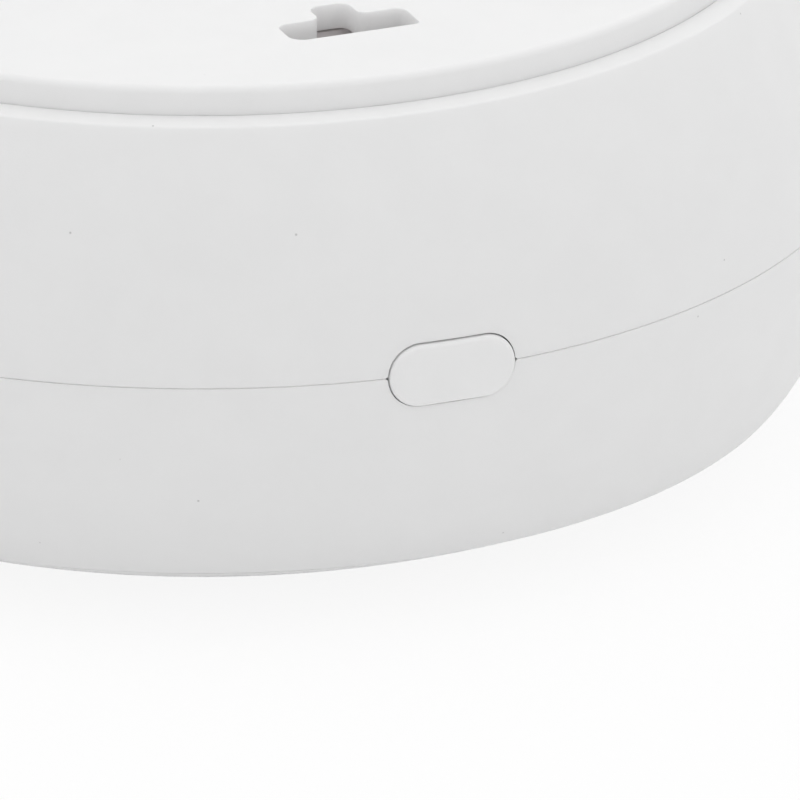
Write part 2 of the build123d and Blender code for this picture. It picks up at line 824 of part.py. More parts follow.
with BuildPart() as big_capacitor:
    with Locations((big_capacitor_x, big_capacitor_y, board_bottom)):
        base_size = 2 * big_capacitor_radius + shield_sheet
        Box(base_size, base_size, big_capacitor_base, align=TOP)
    with Locations((big_capacitor_x, big_capacitor_y, board_bottom - big_capacitor_base)):
        Cylinder(big_capacitor_radius, big_capacitor_height, align=TOP)
    fillet(big_capacitor.faces().sort_by(Axis.Z)[0].edges(), shield_sheet)
save(big_capacitor.part, "big_capacitor")

with BuildPart() as small_chips:
    with Locations((chip_x, chip_y, board_bottom)):
        with GridLocations(chip_pitch_x, chip_pitch_y, 3, 5):
            Box(chip_length, chip_width, chip_height, align=TOP)
save(small_chips.part, "small_chips")

with BuildPart() as indicator_led:
    with Locations((0, -pipe_distance, board_bottom)):
        Box(led_length, led_width, led_height, align=TOP)
save(indicator_led.part, "indicator_led")

# Antenna: a bent strip on two legs, on top of the circuit board
with BuildPart() as antenna:
    with BuildSketch(Plane.XZ.offset(-antenna_y)):
        arm_z = board_top + antenna_rise - antenna_strip
        with Locations((antenna_x, arm_z)):
            Rectangle(antenna_arm, antenna_strip, align=(Align.CENTER, Align.MIN))
        leg_x = antenna_x + antenna_arm / 2 - antenna_strip / 2
        with Locations((leg_x, board_top), (leg_x - antenna_feed, board_top)):
            Rectangle(antenna_strip, antenna_rise, align=(Align.CENTER, Align.MIN))
    extrude(amount=antenna_width / 2, both=True)
save(antenna.part, "antenna")

# Light pipe from the indicator to the front face, its flange on the floor
with BuildPart() as light_pipe:
    with Locations((0, -pipe_distance, pipe_recess)):
        Cylinder(pipe_radius, pipe_top - pipe_recess, align=BOTTOM)
    with Locations((0, -pipe_distance, floor_top)):
        Cylinder(pipe_radius + pipe_flange_lip, pipe_flange, align=BOTTOM)
save(light_pipe.part, "light_pipe")

# Button cap: pill face that follows the side, a flange behind the wall, and a stem
with BuildPart() as button_cap:
    with BuildSketch(Plane.XZ.offset(flange_inner)):
        with Locations((0, button_z)):
            add(pill(button_width, button_height))
    extrude(amount=seam_radius + button_proud - flange_inner)
    with BuildSketch(Plane.XZ):
        with BuildLine():
            face_radius = (rear_arc_radius + front_arc_radius) / 2
            face_centre = seam_radius + button_proud - face_radius
            face_arc = CenterArc(
                (face_centre, seam_z), face_radius, -button_face_sweep / 2, button_face_sweep
            )
            Polyline(face_arc @ 1, (0, (face_arc @ 1).Y), (0, (face_arc @ 0).Y), face_arc @ 0)
        make_face()
    revolve(axis=Axis.Z, mode=Mode.INTERSECT)
    fillet(button_cap.faces().sort_by(Axis.Y)[0].edges(), button_edge_round)
    with BuildSketch(Plane.XZ.offset(flange_inner)):
        with Locations((0, button_z)):
            add(pill(flange_width, flange_height))
    extrude(amount=button_flange)
    with BuildSketch(Plane.XZ.offset(stem_end)):
        with Locations((0, button_z)):
            Rectangle(stem_width, stem_height)
    extrude(amount=flange_inner - stem_end)
save(button_cap.part, "button_cap")

# Push switch on the edge of the board, and its plunger
with BuildPart() as switch_body:
    with Locations((0, -switch_front + switch_depth / 2, board_top)):
        Box(switch_width, switch_depth, switch_height, align=BOTTOM)
    fillet(switch_body.edges().filter_by(Axis.Y), switch_edge_round)
    with BuildSketch(Plane.XZ.offset(switch_front)):
        with Locations((0, button_z)):
            Circle(plunger_radius + plunger_clearance)
    extrude(amount=-bore_depth, mode=Mode.SUBTRACT)
save(switch_body.part, "switch_body")

with BuildPart() as switch_plunger:
    with BuildSketch(Plane.XZ.offset(switch_front - plunger_hidden)):
        with Locations((0, button_z)):
            Circle(plunger_radius)
    extrude(amount=plunger_hidden + plunger_reach)
    fillet(switch_plunger.faces().sort_by(Axis.Y)[0].edges(), switch_edge_round)
save(switch_plunger.part, "switch_plunger")

# Button guide: an upright plate with a window for the stem, on two feet
with BuildPart() as button_guide:
    with Locations((0, -guide_inner - guide_thickness / 2, board_top)):
        Box(guide_width, guide_thickness, guide_height, align=BOTTOM)
    foot_x = (guide_width - guide_foot_width) / 2
    foot_y = -guide_inner + guide_foot_length / 2
    with Locations((-foot_x, foot_y, board_top), (foot_x, foot_y, board_top)):
        Box(guide_foot_width, guide_foot_length, guide_foot_width, align=BOTTOM)
    with Locations((0, -guide_outer, button_z)):
        window_width = stem_width + 2 * guide_play
        window_height = stem_height + 2 * guide_play
        Box(window_width, 4 * guide_thickness, window_height, mode=Mode.SUBTRACT)
save(button_guide.part, "button_guide")

# Sensor board, its chip, the gasket round the chip and the mesh behind the vents
with BuildPart() as sensor_board:
    with Locations((0, rail_y, sensor_board_bottom)):
        Box(sensor_board_width, sensor_board_thickness, sensor_board_height, align=BOTTOM)
    with Locations((0, rail_y, pin_z)):
        with GridLocations(pin_pitch, 0, pin_count, 1):
            Box(pin_hole, 2 * sensor_board_thickness, pin_hole, mode=Mode.SUBTRACT)
save(sensor_board.part, "sensor_board")

with BuildPart() as sensor_chip:
    with Locations((0, sensor_board_face + sensor_chip_thickness / 2, vent_z)):
        Box(sensor_chip_size, sensor_chip_thickness, sensor_chip_size)
    with BuildSketch(Plane.XZ.offset(-sensor_board_face - sensor_chip_thickness)):
        with Locations((0, vent_z)):
            Circle(sensor_port_radius)
    extrude(amount=sensor_port_depth, mode=Mode.SUBTRACT)
save(sensor_chip.part, "sensor_chip")

with BuildPart() as sensor_gasket:
    with BuildSketch(Plane.XZ.offset(-sensor_board_face)):
        with Locations((0, vent_z)):
            Rectangle(gasket_width, gasket_height)
            gasket_inside_width = gasket_width - 2 * gasket_frame
            gasket_inside_height = gasket_height - 2 * gasket_frame
            Rectangle(gasket_inside_width, gasket_inside_height, mode=Mode.SUBTRACT)
    extrude(amount=-seam_radius)
    with BuildSketch(Plane.XZ):
        add(front_area(wall + mesh_thickness + 2 * soft_gap))
    revolve(axis=Axis.Z, mode=Mode.INTERSECT)
save(sensor_gasket.part, "sensor_gasket")

with BuildPart() as vent_mesh:
    with BuildSketch(Plane.XZ.offset(-sensor_board_face)):
        with Locations((0, vent_z)):
            Rectangle(gasket_width, gasket_height)
    extrude(amount=-seam_radius)
    with BuildSketch(Plane.XZ):
        add(front_area(wall + soft_gap))
    revolve(axis=Axis.Z, mode=Mode.INTERSECT)
    with BuildSketch(Plane.XZ):
        add(front_area(wall + soft_gap + mesh_thickness))
    revolve(axis=Axis.Z, mode=Mode.SUBTRACT)
save(vent_mesh.part, "vent_mesh")

# Header that carries the sensor board's four angled pins
with BuildPart() as board_header:
    with Locations((0, header_y, board_top)):
        housing_align = (Align.CENTER, Align.MIN, Align.MIN)
        Box(header_length, header_depth, header_height, align=housing_align)
    with Locations((0, pin_root_y - pin_hole / 2, board_top)):
        with GridLocations(pin_pitch, 0, pin_count, 1):
            channel_height = pin_lift + pin_hole / 2
            Box(pin_hole, header_depth, channel_height, align=housing_align, mode=Mode.SUBTRACT)
save(board_header.part, "board_header")

with BuildPart() as header_pins:
    with Locations((0, pin_root_y - pin_size / 2, pin_z)):
        with GridLocations(pin_pitch, 0, pin_count, 1):
            pin_length = sensor_board_face + pin_end - pin_root_y + pin_size / 2
            Box(pin_size, pin_length, pin_size, align=(Align.CENTER, Align.MIN, Align.CENTER))
    with Locations((0, pin_root_y, pin_z)):
        with GridLocations(pin_pitch, 0, pin_count, 1):
            Box(pin_size, pin_size, pin_z - board_bottom + pin_end, align=TOP)
save(header_pins.part, "header_pins")

# Four tray screws, through the tray and the board into the front shell
with BuildPart() as tray_screws:
    with Locations(screw_points(screw_seat)):
        Cylinder(screw_head_radius, screw_head_height, align=BOTTOM)
        Cylinder(screw_radius, screw_length, align=TOP)
    with Locations(screw_points(screw_seat + screw_head_height)):
        recess_length = 2 * screw_head_radius - 2 * screw_recess_width
        Box(recess_length, screw_recess_width, 2 * screw_recess_depth, mode=Mode.SUBTRACT)
        Box(screw_recess_width, recess_length, 2 * screw_recess_depth, mode=Mode.SUBTRACT)
save(tray_screws.part, "tray_screws")

# What the sizes come to: over all, and the room left under the tallest part on the board
capacitor_end = board_bottom - big_capacitor_base - big_capacitor_height
print("across the seam", round(2 * seam_radius, 3))
print("height over all", round(door_top, 3))
print("free under the big capacitor", round(capacitor_end - floor_top, 3))
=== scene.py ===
import json
from math import asin, atan, atan2, ceil, cos, degrees, pi, radians, sin, sqrt, tan

import bmesh
import bpy
from mathutils import Matrix, Vector, noise


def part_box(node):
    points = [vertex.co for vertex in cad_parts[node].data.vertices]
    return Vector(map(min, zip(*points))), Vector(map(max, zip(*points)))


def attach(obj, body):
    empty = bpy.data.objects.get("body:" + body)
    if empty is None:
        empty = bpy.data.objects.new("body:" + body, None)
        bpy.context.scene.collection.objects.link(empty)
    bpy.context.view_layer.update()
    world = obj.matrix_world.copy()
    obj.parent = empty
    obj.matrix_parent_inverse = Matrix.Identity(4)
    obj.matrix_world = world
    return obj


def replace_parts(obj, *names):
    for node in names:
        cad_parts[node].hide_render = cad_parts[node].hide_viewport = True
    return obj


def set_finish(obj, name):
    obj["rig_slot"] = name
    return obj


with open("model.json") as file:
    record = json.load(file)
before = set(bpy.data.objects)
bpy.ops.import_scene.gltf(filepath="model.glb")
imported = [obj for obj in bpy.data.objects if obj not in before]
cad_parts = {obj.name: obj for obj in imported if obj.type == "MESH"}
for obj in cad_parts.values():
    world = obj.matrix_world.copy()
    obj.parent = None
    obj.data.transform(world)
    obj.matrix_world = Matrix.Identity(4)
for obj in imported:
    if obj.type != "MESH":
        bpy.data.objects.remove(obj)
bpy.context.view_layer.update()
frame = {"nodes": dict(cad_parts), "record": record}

# Sizes are in millimetres, and MM turns them into the frame's metres. X, Y and Z number the axes.
MM = 0.001
X, Y, Z = 0, 1, 2


def low(node, axis):
    """Least coordinate of a CAD node along an axis, in millimetres."""
    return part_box(node)[0][axis] / MM


def high(node, axis):
    """Greatest coordinate of a CAD node along an axis, in millimetres."""
    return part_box(node)[1][axis] / MM


def middle(node, axis):
    """Coordinate halfway through a CAD node along an axis, in millimetres."""
    return (low(node, axis) + high(node, axis)) / 2


def extent(node, axis):
    """Length of a CAD node along an axis, in millimetres."""
    return high(node, axis) - low(node, axis)


# Rear shell
seam_radius = high("rear_shell", X)
rim_z = high("rear_shell", Z)
rear_arc_radius = 23.2
rim_height = 11.5
rim_drop = 0.15
rim_width = 0.954
rim_edge_round = 0.2
rim_inner_round = 0.02
rim_lip_gap = 0.02
rim_lip_depth = 0.4
wall = 1.6
lap_depth = 1.2
lap_thickness = 0.7
lap_clearance = 0.1
ledge_depth = 1.5
ledge_width = 1.08
ledge_thickness = 1.6
seam_edge = 0.04
seam_gap = 0.01

# Front shell and front cap
front_arc_radius = 21.2
front_arc_angle = 23.0
turn_radius = 7.0
turn_angle = 40.0
floor_thickness = 1.2
front_face_inset = 9.534
shoulder_inset = 6.634
shoulder_rise = 0.5
bevel_crown = 0.12
cap_inset = 0.28
cap_reveal = 0.13
cap_rim_step = 0.5
cap_rim_width = 1.8
cap_thickness = 1.4
hook_inset = 5.634
hook_width = 4.0
hook_thickness = 1.0
hook_count = 4
hook_catch = 0.5
hook_nose = 0.9
hook_clearance = 0.15

# Battery door
door_radius = high("battery_door", X)
door_top = high("battery_door", Z)
door_plate = 1.2
door_skirt = 1.05
door_edge_round = 0.33
door_seat_gap = 0.02
window_bar_length = 6.14
window_bar_width = 2.15
window_bar_inset = 6.695
window_tab_width = 1.89
window_tab_length = 1.53
window_shift = -0.7
window_left_corner = 0.7
window_right_corner = 0.3
window_far_corner = 0.54
window_inner_corner = 0.45
window_edge_round = 0.05
lip_thickness = 1.2
hinge_hook_width = 6.0
hinge_hook_reach = 0.5
hinge_hook_height = 0.9
hook_play = 0.2
pocket_play = 0.25
door_rib = 1.0
door_rib_depth = 1.2
door_rib_gap = 2.65
door_rib_pitch = 5.0
door_rib_count = 2
latch_width = extent("door_latch", X)
latch_thickness = 0.8
latch_length = 4.4
latch_bite = 0.45
latch_play = 0.15
stake_radius = 0.9
stake_boss_radius = 1.7
stake_setback = 1.8
stake_spacing = 5.4
stake_head = 0.4
stake_head_radius = 1.3

# Cells
cell_end = high("battery_a", X)
cell_y = middle("battery_a", Y)
cell_axis_z = middle("battery_a", Z)
cell_radius = extent("battery_a", Z) / 2
cell_nub_radius = 1.9
cell_nub_length = 0.8
cell_nub_foot = 0.5
can_round = 0.3
can_ring = 0.8
cell_clearance = 0.15
sleeve_thickness = 0.1
sleeve_lip = 0.7
sleeve_round = 0.4
sleeve_line = 0.78
sleeve_dark = (0.025, 0.05, 0.10, 1)
sleeve_pale = (0.62, 0.64, 0.66, 1)

# Button
button_flange_lip = 0.6
button_width = extent("button_cap", X) - 2 * button_flange_lip
button_height = extent("button_cap", Z) - 2 * button_flange_lip
button_z = middle("button_cap", Z)
button_gap = 0.05
button_edge_round = 0.25
button_proud = 0.2
button_sag = 0.035
button_lean = 0.02
seam_nick = 0.13
button_flange = 0.8
button_flange_play = 0.16
stem_width = 3.0
stem_height = 2.0
stem_end = -high("button_cap", Y)

# Vents, and the rails and the mesh behind them
vent_count = 5
vent_pitch = 1.6
vent_width = 0.8
vent_margin = 0.1
gasket_frame = 1.0
vent_z = middle("sensor_gasket", Z)
vent_height = extent("sensor_gasket", Z) - 2 * gasket_frame - 2 * vent_margin
rail_width = 2.0
rail_depth = 2.8
rail_groove = 0.9
rail_x = high("sensor_board", X) - rail_groove + rail_width / 2
rail_y = middle("sensor_board", Y)
rail_top = high("sensor_board", Z) - 2.5
mesh_gap = 0.05
mesh_thickness = 0.2
mesh_pitch = 0.3
mesh_wire_radius = 0.045
mesh_wire_sides = 6
mesh_wire_play = 0.01

# Light pipe, tray screws and the bosses that they hold in
pipe_distance = -middle("light_pipe", Y)
pipe_radius = 1.0
pipe_gap = 0.03
slot_clearance = 0.1
screw_head_radius = 1.9
screw_head_height = 1.3
screw_head_round = 0.6
screw_core_radius = 0.78
screw_thread_radius = 1.0
screw_thread_pitch = 0.8
screw_tip = 1.2
screw_point = 0.15
screw_seat = high("tray_screws", Z) - screw_head_height
screw_x = high("tray_screws", X) - screw_head_radius
screw_y = high("tray_screws", Y) - screw_head_radius
screw_places = [(x, y) for x in (-screw_x, screw_x) for y in (-screw_y, screw_y)]
screw_hole_radius = 1.05
recess_arm = 2.6
recess_width = 0.55
recess_depth = 0.9
boss_radius = 2.45
board_bottom = low("main_board", Z)

# Foam under the door, and the marks beside the cells
foam_round = 0.2
foam_pore = 0.12
foam_cell = 0.25
mark_x = 9.0
mark_y = 14.0
mark_length = 2.4
mark_stroke = 0.6
mark_height = 0.3

# Places that follow from the sizes above
seam_z = rim_z - rim_height
rim_angle = degrees(asin((rim_height - rim_drop) / rear_arc_radius))
rear_centre = seam_radius - rear_arc_radius
front_centre = seam_radius - front_arc_radius
rim_outer_radius = rear_centre + rear_arc_radius * cos(radians(rim_angle))
opening_radius = rim_outer_radius - rim_width
turn_centre = front_centre + (front_arc_radius - turn_radius) * cos(radians(front_arc_angle))
turn_z = seam_z - (front_arc_radius - turn_radius) * sin(radians(front_arc_angle))
crease_radius = turn_centre + turn_radius * cos(radians(turn_angle))
crease_z = turn_z - turn_radius * sin(radians(turn_angle))
floor_top = crease_z + floor_thickness
inner_seam_radius = seam_radius - wall
ledge_z = rim_z - ledge_depth
ledge_inner_radius = opening_radius - ledge_width
ledge_bottom = ledge_z - ledge_thickness
lip_bottom = rim_z - lip_thickness
front_face_radius = crease_radius - front_face_inset
shoulder_radius = crease_radius - shoulder_inset
hook_radius = crease_radius - hook_inset
door_underside = door_top - door_plate
skirt_bottom = ledge_z + door_seat_gap
skirt_inner_radius = door_radius - door_skirt
window_bar_radius = door_radius - window_bar_inset
window_bar_edge = window_bar_radius - window_bar_width / 2
tab_tip_radius = window_bar_edge - window_tab_length
latch_root_radius = tab_tip_radius - latch_length
latch_top = lip_bottom - latch_play
latch_bottom = latch_top - latch_thickness
stake_y = -latch_root_radius - stake_setback
stake_xs = (-stake_spacing / 2, stake_spacing / 2)

# Fineness of the meshes
ring_count = 720
arc_step = radians(0.8)
corner_steps = 6
window_corner_steps = 16
edge_steps = 12
pill_steps = 48
cell_count = 144
small_count = 48
hole_count = 64
bevel_steps = 40

# Detail of the materials, in millimetres and as shares
fleck_spacing = 3.0
fleck_size = 0.07
fleck_tone = 0.5
fleck_shade = 0.4
glow_depth = 0.2
# Subsurface reach of the lighter copy of the door plastic on the window's walls, which is painted light.
thin_glow_depth = 0.8
thin_wall_slope = 0.9
track_pitch = 0.8
wave_scale = 0.314
chip_pitch = 2.6
chip_bare = 0.9

# How a CAD form is read when its edges are rounded, in millimetres and degrees
weld_distance = 0.0005
flat_angle = 0.5
sharp_angle = 35
edge_rounds = {
    "battery_tray": 0.12, "door_latch": 0.12,
    "button_guide": 0.06, "switch_body": 0.06, "switch_plunger": 0.05,
    "board_header": 0.08, "controller": 0.05, "sensor_chip": 0.05, "small_chips": 0.05, "crystal": 0.06,
    "shield_can": 0.08, "sensor_gasket": 0.1, "light_pipe": 0.05, "indicator_led": 0.05, "main_board": 0.04,
    "sensor_board": 0.04, "header_pins": 0.04, "contact_positive": 0.03, "contact_negative": 0.03,
    "contact_bridge": 0.03, "antenna": 0.03, "big_capacitor": 0.06,
}


def arc(centre, radius, start, end):
    """Points of an arc from angle start to angle end, in degrees."""
    span = radians(end - start)
    steps = max(2, ceil(abs(span) / arc_step))
    angles = [radians(start) + span * i / steps for i in range(steps + 1)]
    return [(centre[0] + radius * cos(a), centre[1] + radius * sin(a)) for a in angles]


def rounded(corners, grow=0.0, steps=corner_steps):
    """Closed anticlockwise outline whose corners (x, y, radius) are rounded, moved outward by grow."""
    outline = []
    for i, corner in enumerate(corners):
        here = Vector(corner[:2])
        radius = corner[2] if len(corner) > 2 else 0.0
        if radius == 0.0:
            outline.append(tuple(here))
            continue
        before = (here - Vector(corners[i - 1][:2])).normalized()
        after = (Vector(corners[(i + 1) % len(corners)][:2]) - here).normalized()
        turn = atan2(before.x * after.y - before.y * after.x, before.dot(after))
        side = 1.0 if turn > 0 else -1.0
        inward = Vector((-before.y, before.x)) * side
        centre = here - before * radius * tan(abs(turn) / 2) + inward * radius
        arm = -inward * (radius + side * grow)
        for step in range(steps + 1):
            outline.append(tuple(centre + Matrix.Rotation(turn * step / steps, 2) @ arm))
    return outline


def add_to_scene(name, data):
    """A new object with the given data, in the scene."""
    thing = bpy.data.objects.new(name, data)
    bpy.context.scene.collection.objects.link(thing)
    return thing


def new_piece(name, bm, body):
    """A mesh object from bm, whose points are millimetres, riding on a body."""
    bmesh.ops.scale(bm, vec=(MM, MM, MM), verts=bm.verts)
    bmesh.ops.recalc_face_normals(bm, faces=bm.faces)
    mesh = bpy.data.meshes.new(name)
    bm.to_mesh(mesh)
    bm.free()
    piece = add_to_scene(name, mesh)
    if body:
        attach(piece, body)
    return piece


def lathe(section, count=ring_count):
    """Turned solid from a closed half section of (radius, height) points."""
    bm = bmesh.new()
    rings = []
    for radius, height in section:
        if radius < 1e-9:
            rings.append([bm.verts.new((0, 0, height))])
            continue
        angles = [2 * pi * i / count for i in range(count)]
        rings.append([bm.verts.new((radius * cos(a), radius * sin(a), height)) for a in angles])
    for lower, upper in zip(rings, rings[1:] + rings[:1]):
        for i in range(count):
            j = (i + 1) % count
            if len(lower) == 1 and len(upper) == 1:
                break
            if len(lower) == 1:
                bm.faces.new((lower[0], upper[j], upper[i]))
            elif len(upper) == 1:
                bm.faces.new((lower[i], lower[j], upper[0]))
            else:
                bm.faces.new((lower[i], lower[j], upper[j], upper[i]))
    return bm


def tube(bm, loops):
    """Faces from each closed loop of points to the next, and the loops' new vertices."""
    rings = [[bm.verts.new(point) for point in loop] for loop in loops]
    for lower, upper in zip(rings, rings[1:]):
        for i in range(len(lower)):
            j = (i + 1) % len(lower)
            bm.faces.new((lower[i], lower[j], upper[j], upper[i]))
    return rings


def close(bm, rings):
    """A face over each end of a tube."""
    bm.faces.new(rings[0])
    bm.faces.new(rings[-1])


def prism(outline, start, end, axis="Z"):
    """Straight solid along Z or Y whose ends have the given outline: (x, y), or (x, z) along Y."""
    bm = bmesh.new()
    if axis == "Z":
        loops = [[(x, y, place) for x, y in outline] for place in (start, end)]
    else:
        loops = [[(x, place, y) for x, y in outline] for place in (start, end)]
    close(bm, tube(bm, loops))
    return bm


def rectangle(width, height, x=0.0, y=0.0):
    """Corners of a rectangle about (x, y), anticlockwise."""
    a, b = width / 2, height / 2
    return [(x - a, y - b), (x + a, y - b), (x + a, y + b), (x - a, y + b)]


def disc(radius, x=0.0, y=0.0):
    """Points of a circle about (x, y)."""
    turns = [2 * pi * i / hole_count for i in range(hole_count)]
    return [(x + radius * cos(turn), y + radius * sin(turn)) for turn in turns]


def pill(width, height, x=0.0, y=0.0, inset=0.0):
    """Points of a pill outline about (x, y), longer along its width, moved inward by inset."""
    half = (width - height) / 2
    radius = height / 2 - inset
    right = [(x + half + radius * cos(a), y + radius * sin(a))
             for a in (-pi / 2 + pi * i / pill_steps for i in range(pill_steps + 1))]
    left = [(2 * x - px, 2 * y - py) for px, py in right]
    return right + left


def joined(forms):
    """One mesh from several."""
    bm = bmesh.new()
    for form in forms:
        spare = bpy.data.meshes.new("spare")
        form.to_mesh(spare)
        form.free()
        bm.from_mesh(spare)
        bpy.data.meshes.remove(spare)
    return bm


def moved(bm, x, y, z=0.0):
    """The same form, shifted."""
    bmesh.ops.translate(bm, vec=(x, y, z), verts=bm.verts)
    return bm


def spun(bm, angle, axis):
    """The same form, turned about an axis through the origin."""
    bmesh.ops.rotate(bm, cent=(0, 0, 0), matrix=Matrix.Rotation(angle, 3, axis), verts=bm.verts)
    return bm


def carve(piece, tools, operation="DIFFERENCE"):
    """Cut the tools out of a piece, or join them to it, one after another."""
    for bm in tools:
        tool = new_piece("carving_tool", bm, None)
        step = piece.modifiers.new("carve", "BOOLEAN")
        step.object = tool
        step.operation = operation
        step.solver = "EXACT"
        bpy.context.view_layer.objects.active = piece
        with bpy.context.temp_override(object=piece, active_object=piece):
            bpy.ops.object.modifier_apply(modifier=step.name)
        bpy.data.meshes.remove(tool.data)


def smooth(piece, angle=30):
    """Smooth shading, with an edge wherever two faces meet at more than the angle."""
    piece.data.polygons.foreach_set("use_smooth", [True] * len(piece.data.polygons))
    piece.data.set_sharp_from_angle(angle=radians(angle))


def button_cutter():
    """Solid that opens the side wall for the button, with a small nick at each side where the seam ends."""
    outline = pill(button_width + 2 * button_gap, button_height + 2 * button_gap, 0, button_z)
    side = pill_steps // 2
    for index, nick in ((side, seam_nick), (side + pill_steps + 1, -seam_nick)):
        x, z = outline[index]
        outline[index] = (x + nick, z)
    return prism(outline, -inner_seam_radius + wall, -seam_radius - wall, "Y")


def make_rear_shell():
    """Rear shell: side, rim ring, ledge for the door, tongue, and its openings."""
    inner_arc = rear_arc_radius - wall
    ledge_angle = degrees(asin((ledge_bottom - seam_z) / inner_arc))
    edge_angle = degrees(asin(seam_edge / rear_arc_radius))
    tongue_radius = inner_seam_radius + lap_thickness
    side = arc((rear_centre, seam_z), rear_arc_radius, edge_angle, rim_angle)
    inside = arc((rear_centre, seam_z), inner_arc, ledge_angle, 0)
    corners = [(*p, 0.0) for p in side[:-1]]
    lip_radius = door_radius + rim_lip_gap
    corners += [(*side[-1], rim_edge_round), (lip_radius, rim_z, rim_inner_round)]
    corners += [(lip_radius, rim_z - rim_lip_depth), (opening_radius, rim_z - rim_lip_depth)]
    corners += [(opening_radius, ledge_z), (ledge_inner_radius, ledge_z), (ledge_inner_radius, ledge_bottom)]
    corners += inside
    corners += [(inner_seam_radius, seam_z - lap_depth), (tongue_radius, seam_z - lap_depth)]
    corners += [(tongue_radius, seam_z), (seam_radius - seam_edge, seam_z)]
    shell = new_piece("rear_shell_skin", lathe(rounded(corners)), "housing")
    inner = ledge_inner_radius - wall
    hook_outer = opening_radius + hinge_hook_reach + pocket_play
    latch_outer = opening_radius + latch_bite + latch_play
    hook_pocket = rounded_sector(hinge_hook_width + 2 * hook_play, inner, hook_outer, 1)
    latch_pocket = rounded_sector(latch_width + 4 * latch_play, inner, latch_outer, -1)
    carve(shell, [
        prism(hook_pocket, lip_bottom, lip_bottom - hinge_hook_height - 2 * hook_play),
        prism(latch_pocket, lip_bottom, lip_bottom - latch_thickness - 3 * latch_play),
        button_cutter(),
    ])
    smooth(shell)
    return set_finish(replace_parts(shell, "rear_shell"), "shell_white")


def rounded_sector(width, inner, outer, side):
    """Outline between the line y = inner and the circle of radius outer, at +Y for side 1, at -Y for -1."""
    half = width / 2
    steps = 24
    xs = [half - 2 * half * i / steps for i in range(steps + 1)]
    rim = [(x, sqrt(outer**2 - x**2)) for x in xs]
    outline = [(-half, inner), (half, inner)] + rim
    return [(x, side * y) for x, y in outline]


def make_front_shell():
    """Front shell: side down to the crease, floor, bosses, rails, vents and its openings."""
    side = arc((front_centre, seam_z), front_arc_radius, -degrees(asin(seam_edge / front_arc_radius)),
               -front_arc_angle)
    turn = arc((turn_centre, turn_z), turn_radius, -front_arc_angle, -turn_angle)
    inner_turn = turn_radius - wall
    inner_side = front_arc_radius - wall
    floor_angle = degrees(asin((turn_z - floor_top) / inner_turn))
    lap_z = seam_z - lap_depth - lap_clearance
    lap_angle = degrees(asin((seam_z - lap_z) / inner_side))
    groove_radius = inner_seam_radius + lap_thickness + lap_clearance
    section = [(seam_radius - seam_edge, seam_z - seam_gap)] + side + turn[1:]
    section += [(0, crease_z), (0, floor_top)]
    section += arc((turn_centre, turn_z), inner_turn, -floor_angle, -front_arc_angle)
    section += arc((front_centre, seam_z), inner_side, -front_arc_angle, -lap_angle)[1:]
    section += [(groove_radius, lap_z), (groove_radius, seam_z - seam_gap)]
    shell = new_piece("front_shell_skin", lathe(section), "housing")
    base = floor_top - floor_thickness / 2
    rails = [prism(rectangle(rail_width, rail_depth, x, rail_y), base, rail_top) for x in (-rail_x, rail_x)]
    bosses = [prism(disc(boss_radius, *p), base, board_bottom) for p in screw_places]
    carve(shell, bosses + rails, "UNION")
    openings = []
    for i in range(vent_count):
        vent_x = (i - (vent_count - 1) / 2) * vent_pitch
        vent = [(across + vent_x, along + vent_z) for along, across in pill(vent_height, vent_width)]
        openings.append(prism(vent, inner_seam_radius - 2 * wall, seam_radius + wall, "Y"))
    slot = rectangle(hook_thickness + hook_catch + 2 * hook_clearance, hook_width + 2 * hook_clearance,
                     hook_radius + hook_catch / 2)
    for a in (2 * pi * i / hook_count for i in range(hook_count)):
        turned = [(x * cos(a) - y * sin(a), x * sin(a) + y * cos(a)) for x, y in slot]
        openings.append(prism(turned, crease_z - wall, floor_top + wall))
    pipe_hole = disc(pipe_radius + slot_clearance, 0, -pipe_distance)
    openings.append(prism(pipe_hole, crease_z - wall, floor_top + wall))
    openings += [prism(disc(screw_hole_radius, *p), floor_top, board_bottom + wall) for p in screw_places]
    carve(shell, openings + [button_cutter()])
    smooth(shell)
    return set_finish(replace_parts(shell, "front_shell"), "shell_white")


def make_front_cap():
    """Front cap: flat face, crowned bevel up to the crease, four snap hooks and the light pipe's hole."""
    edge = (crease_radius - cap_inset, crease_z - cap_reveal)
    shoulder = (shoulder_radius, shoulder_rise)
    run = shoulder_radius - front_face_radius
    heel_radius = (run**2 + shoulder_rise**2) / (2 * shoulder_rise)
    heel = arc((front_face_radius, heel_radius), heel_radius, -90, -90 + degrees(asin(run / heel_radius)))
    span = Vector(edge) - Vector(shoulder)
    bevel = []
    for i in range(1, bevel_steps):
        t = i / bevel_steps
        point = Vector(shoulder) + span * t
        bevel.append((point.x, point.y - 4 * bevel_crown * t * (1 - t)))
    step_radius = edge[0] - cap_rim_step
    section = [(0, 0)] + heel + bevel + [edge, (step_radius, edge[1]), (step_radius, crease_z)]
    section += [(step_radius - cap_rim_width, crease_z), (front_face_radius + cap_thickness, cap_thickness)]
    section += [(0, cap_thickness)]
    cap = new_piece("front_cap_skin", lathe(section), "housing")
    catch_z = floor_top + hook_clearance
    root = (cap_thickness + crease_z) / 4
    inner, outer = hook_radius - hook_thickness / 2, hook_radius + hook_thickness / 2
    hook = [(inner, root), (outer, root), (outer, catch_z), (outer + hook_catch, catch_z),
            (outer, catch_z + hook_nose), (inner, catch_z + hook_nose)]
    hooks = []
    for quarter in range(hook_count):
        bm = prism(hook, -hook_width / 2, hook_width / 2, "Y")
        hooks.append(spun(bm, 2 * pi * quarter / hook_count, "Z"))
    carve(cap, hooks, "UNION")
    carve(cap, [prism(disc(pipe_radius + pipe_gap, 0, -pipe_distance), -wall, cap_thickness + wall)])
    smooth(cap)
    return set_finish(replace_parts(cap, "front_cap"), "shell_white")


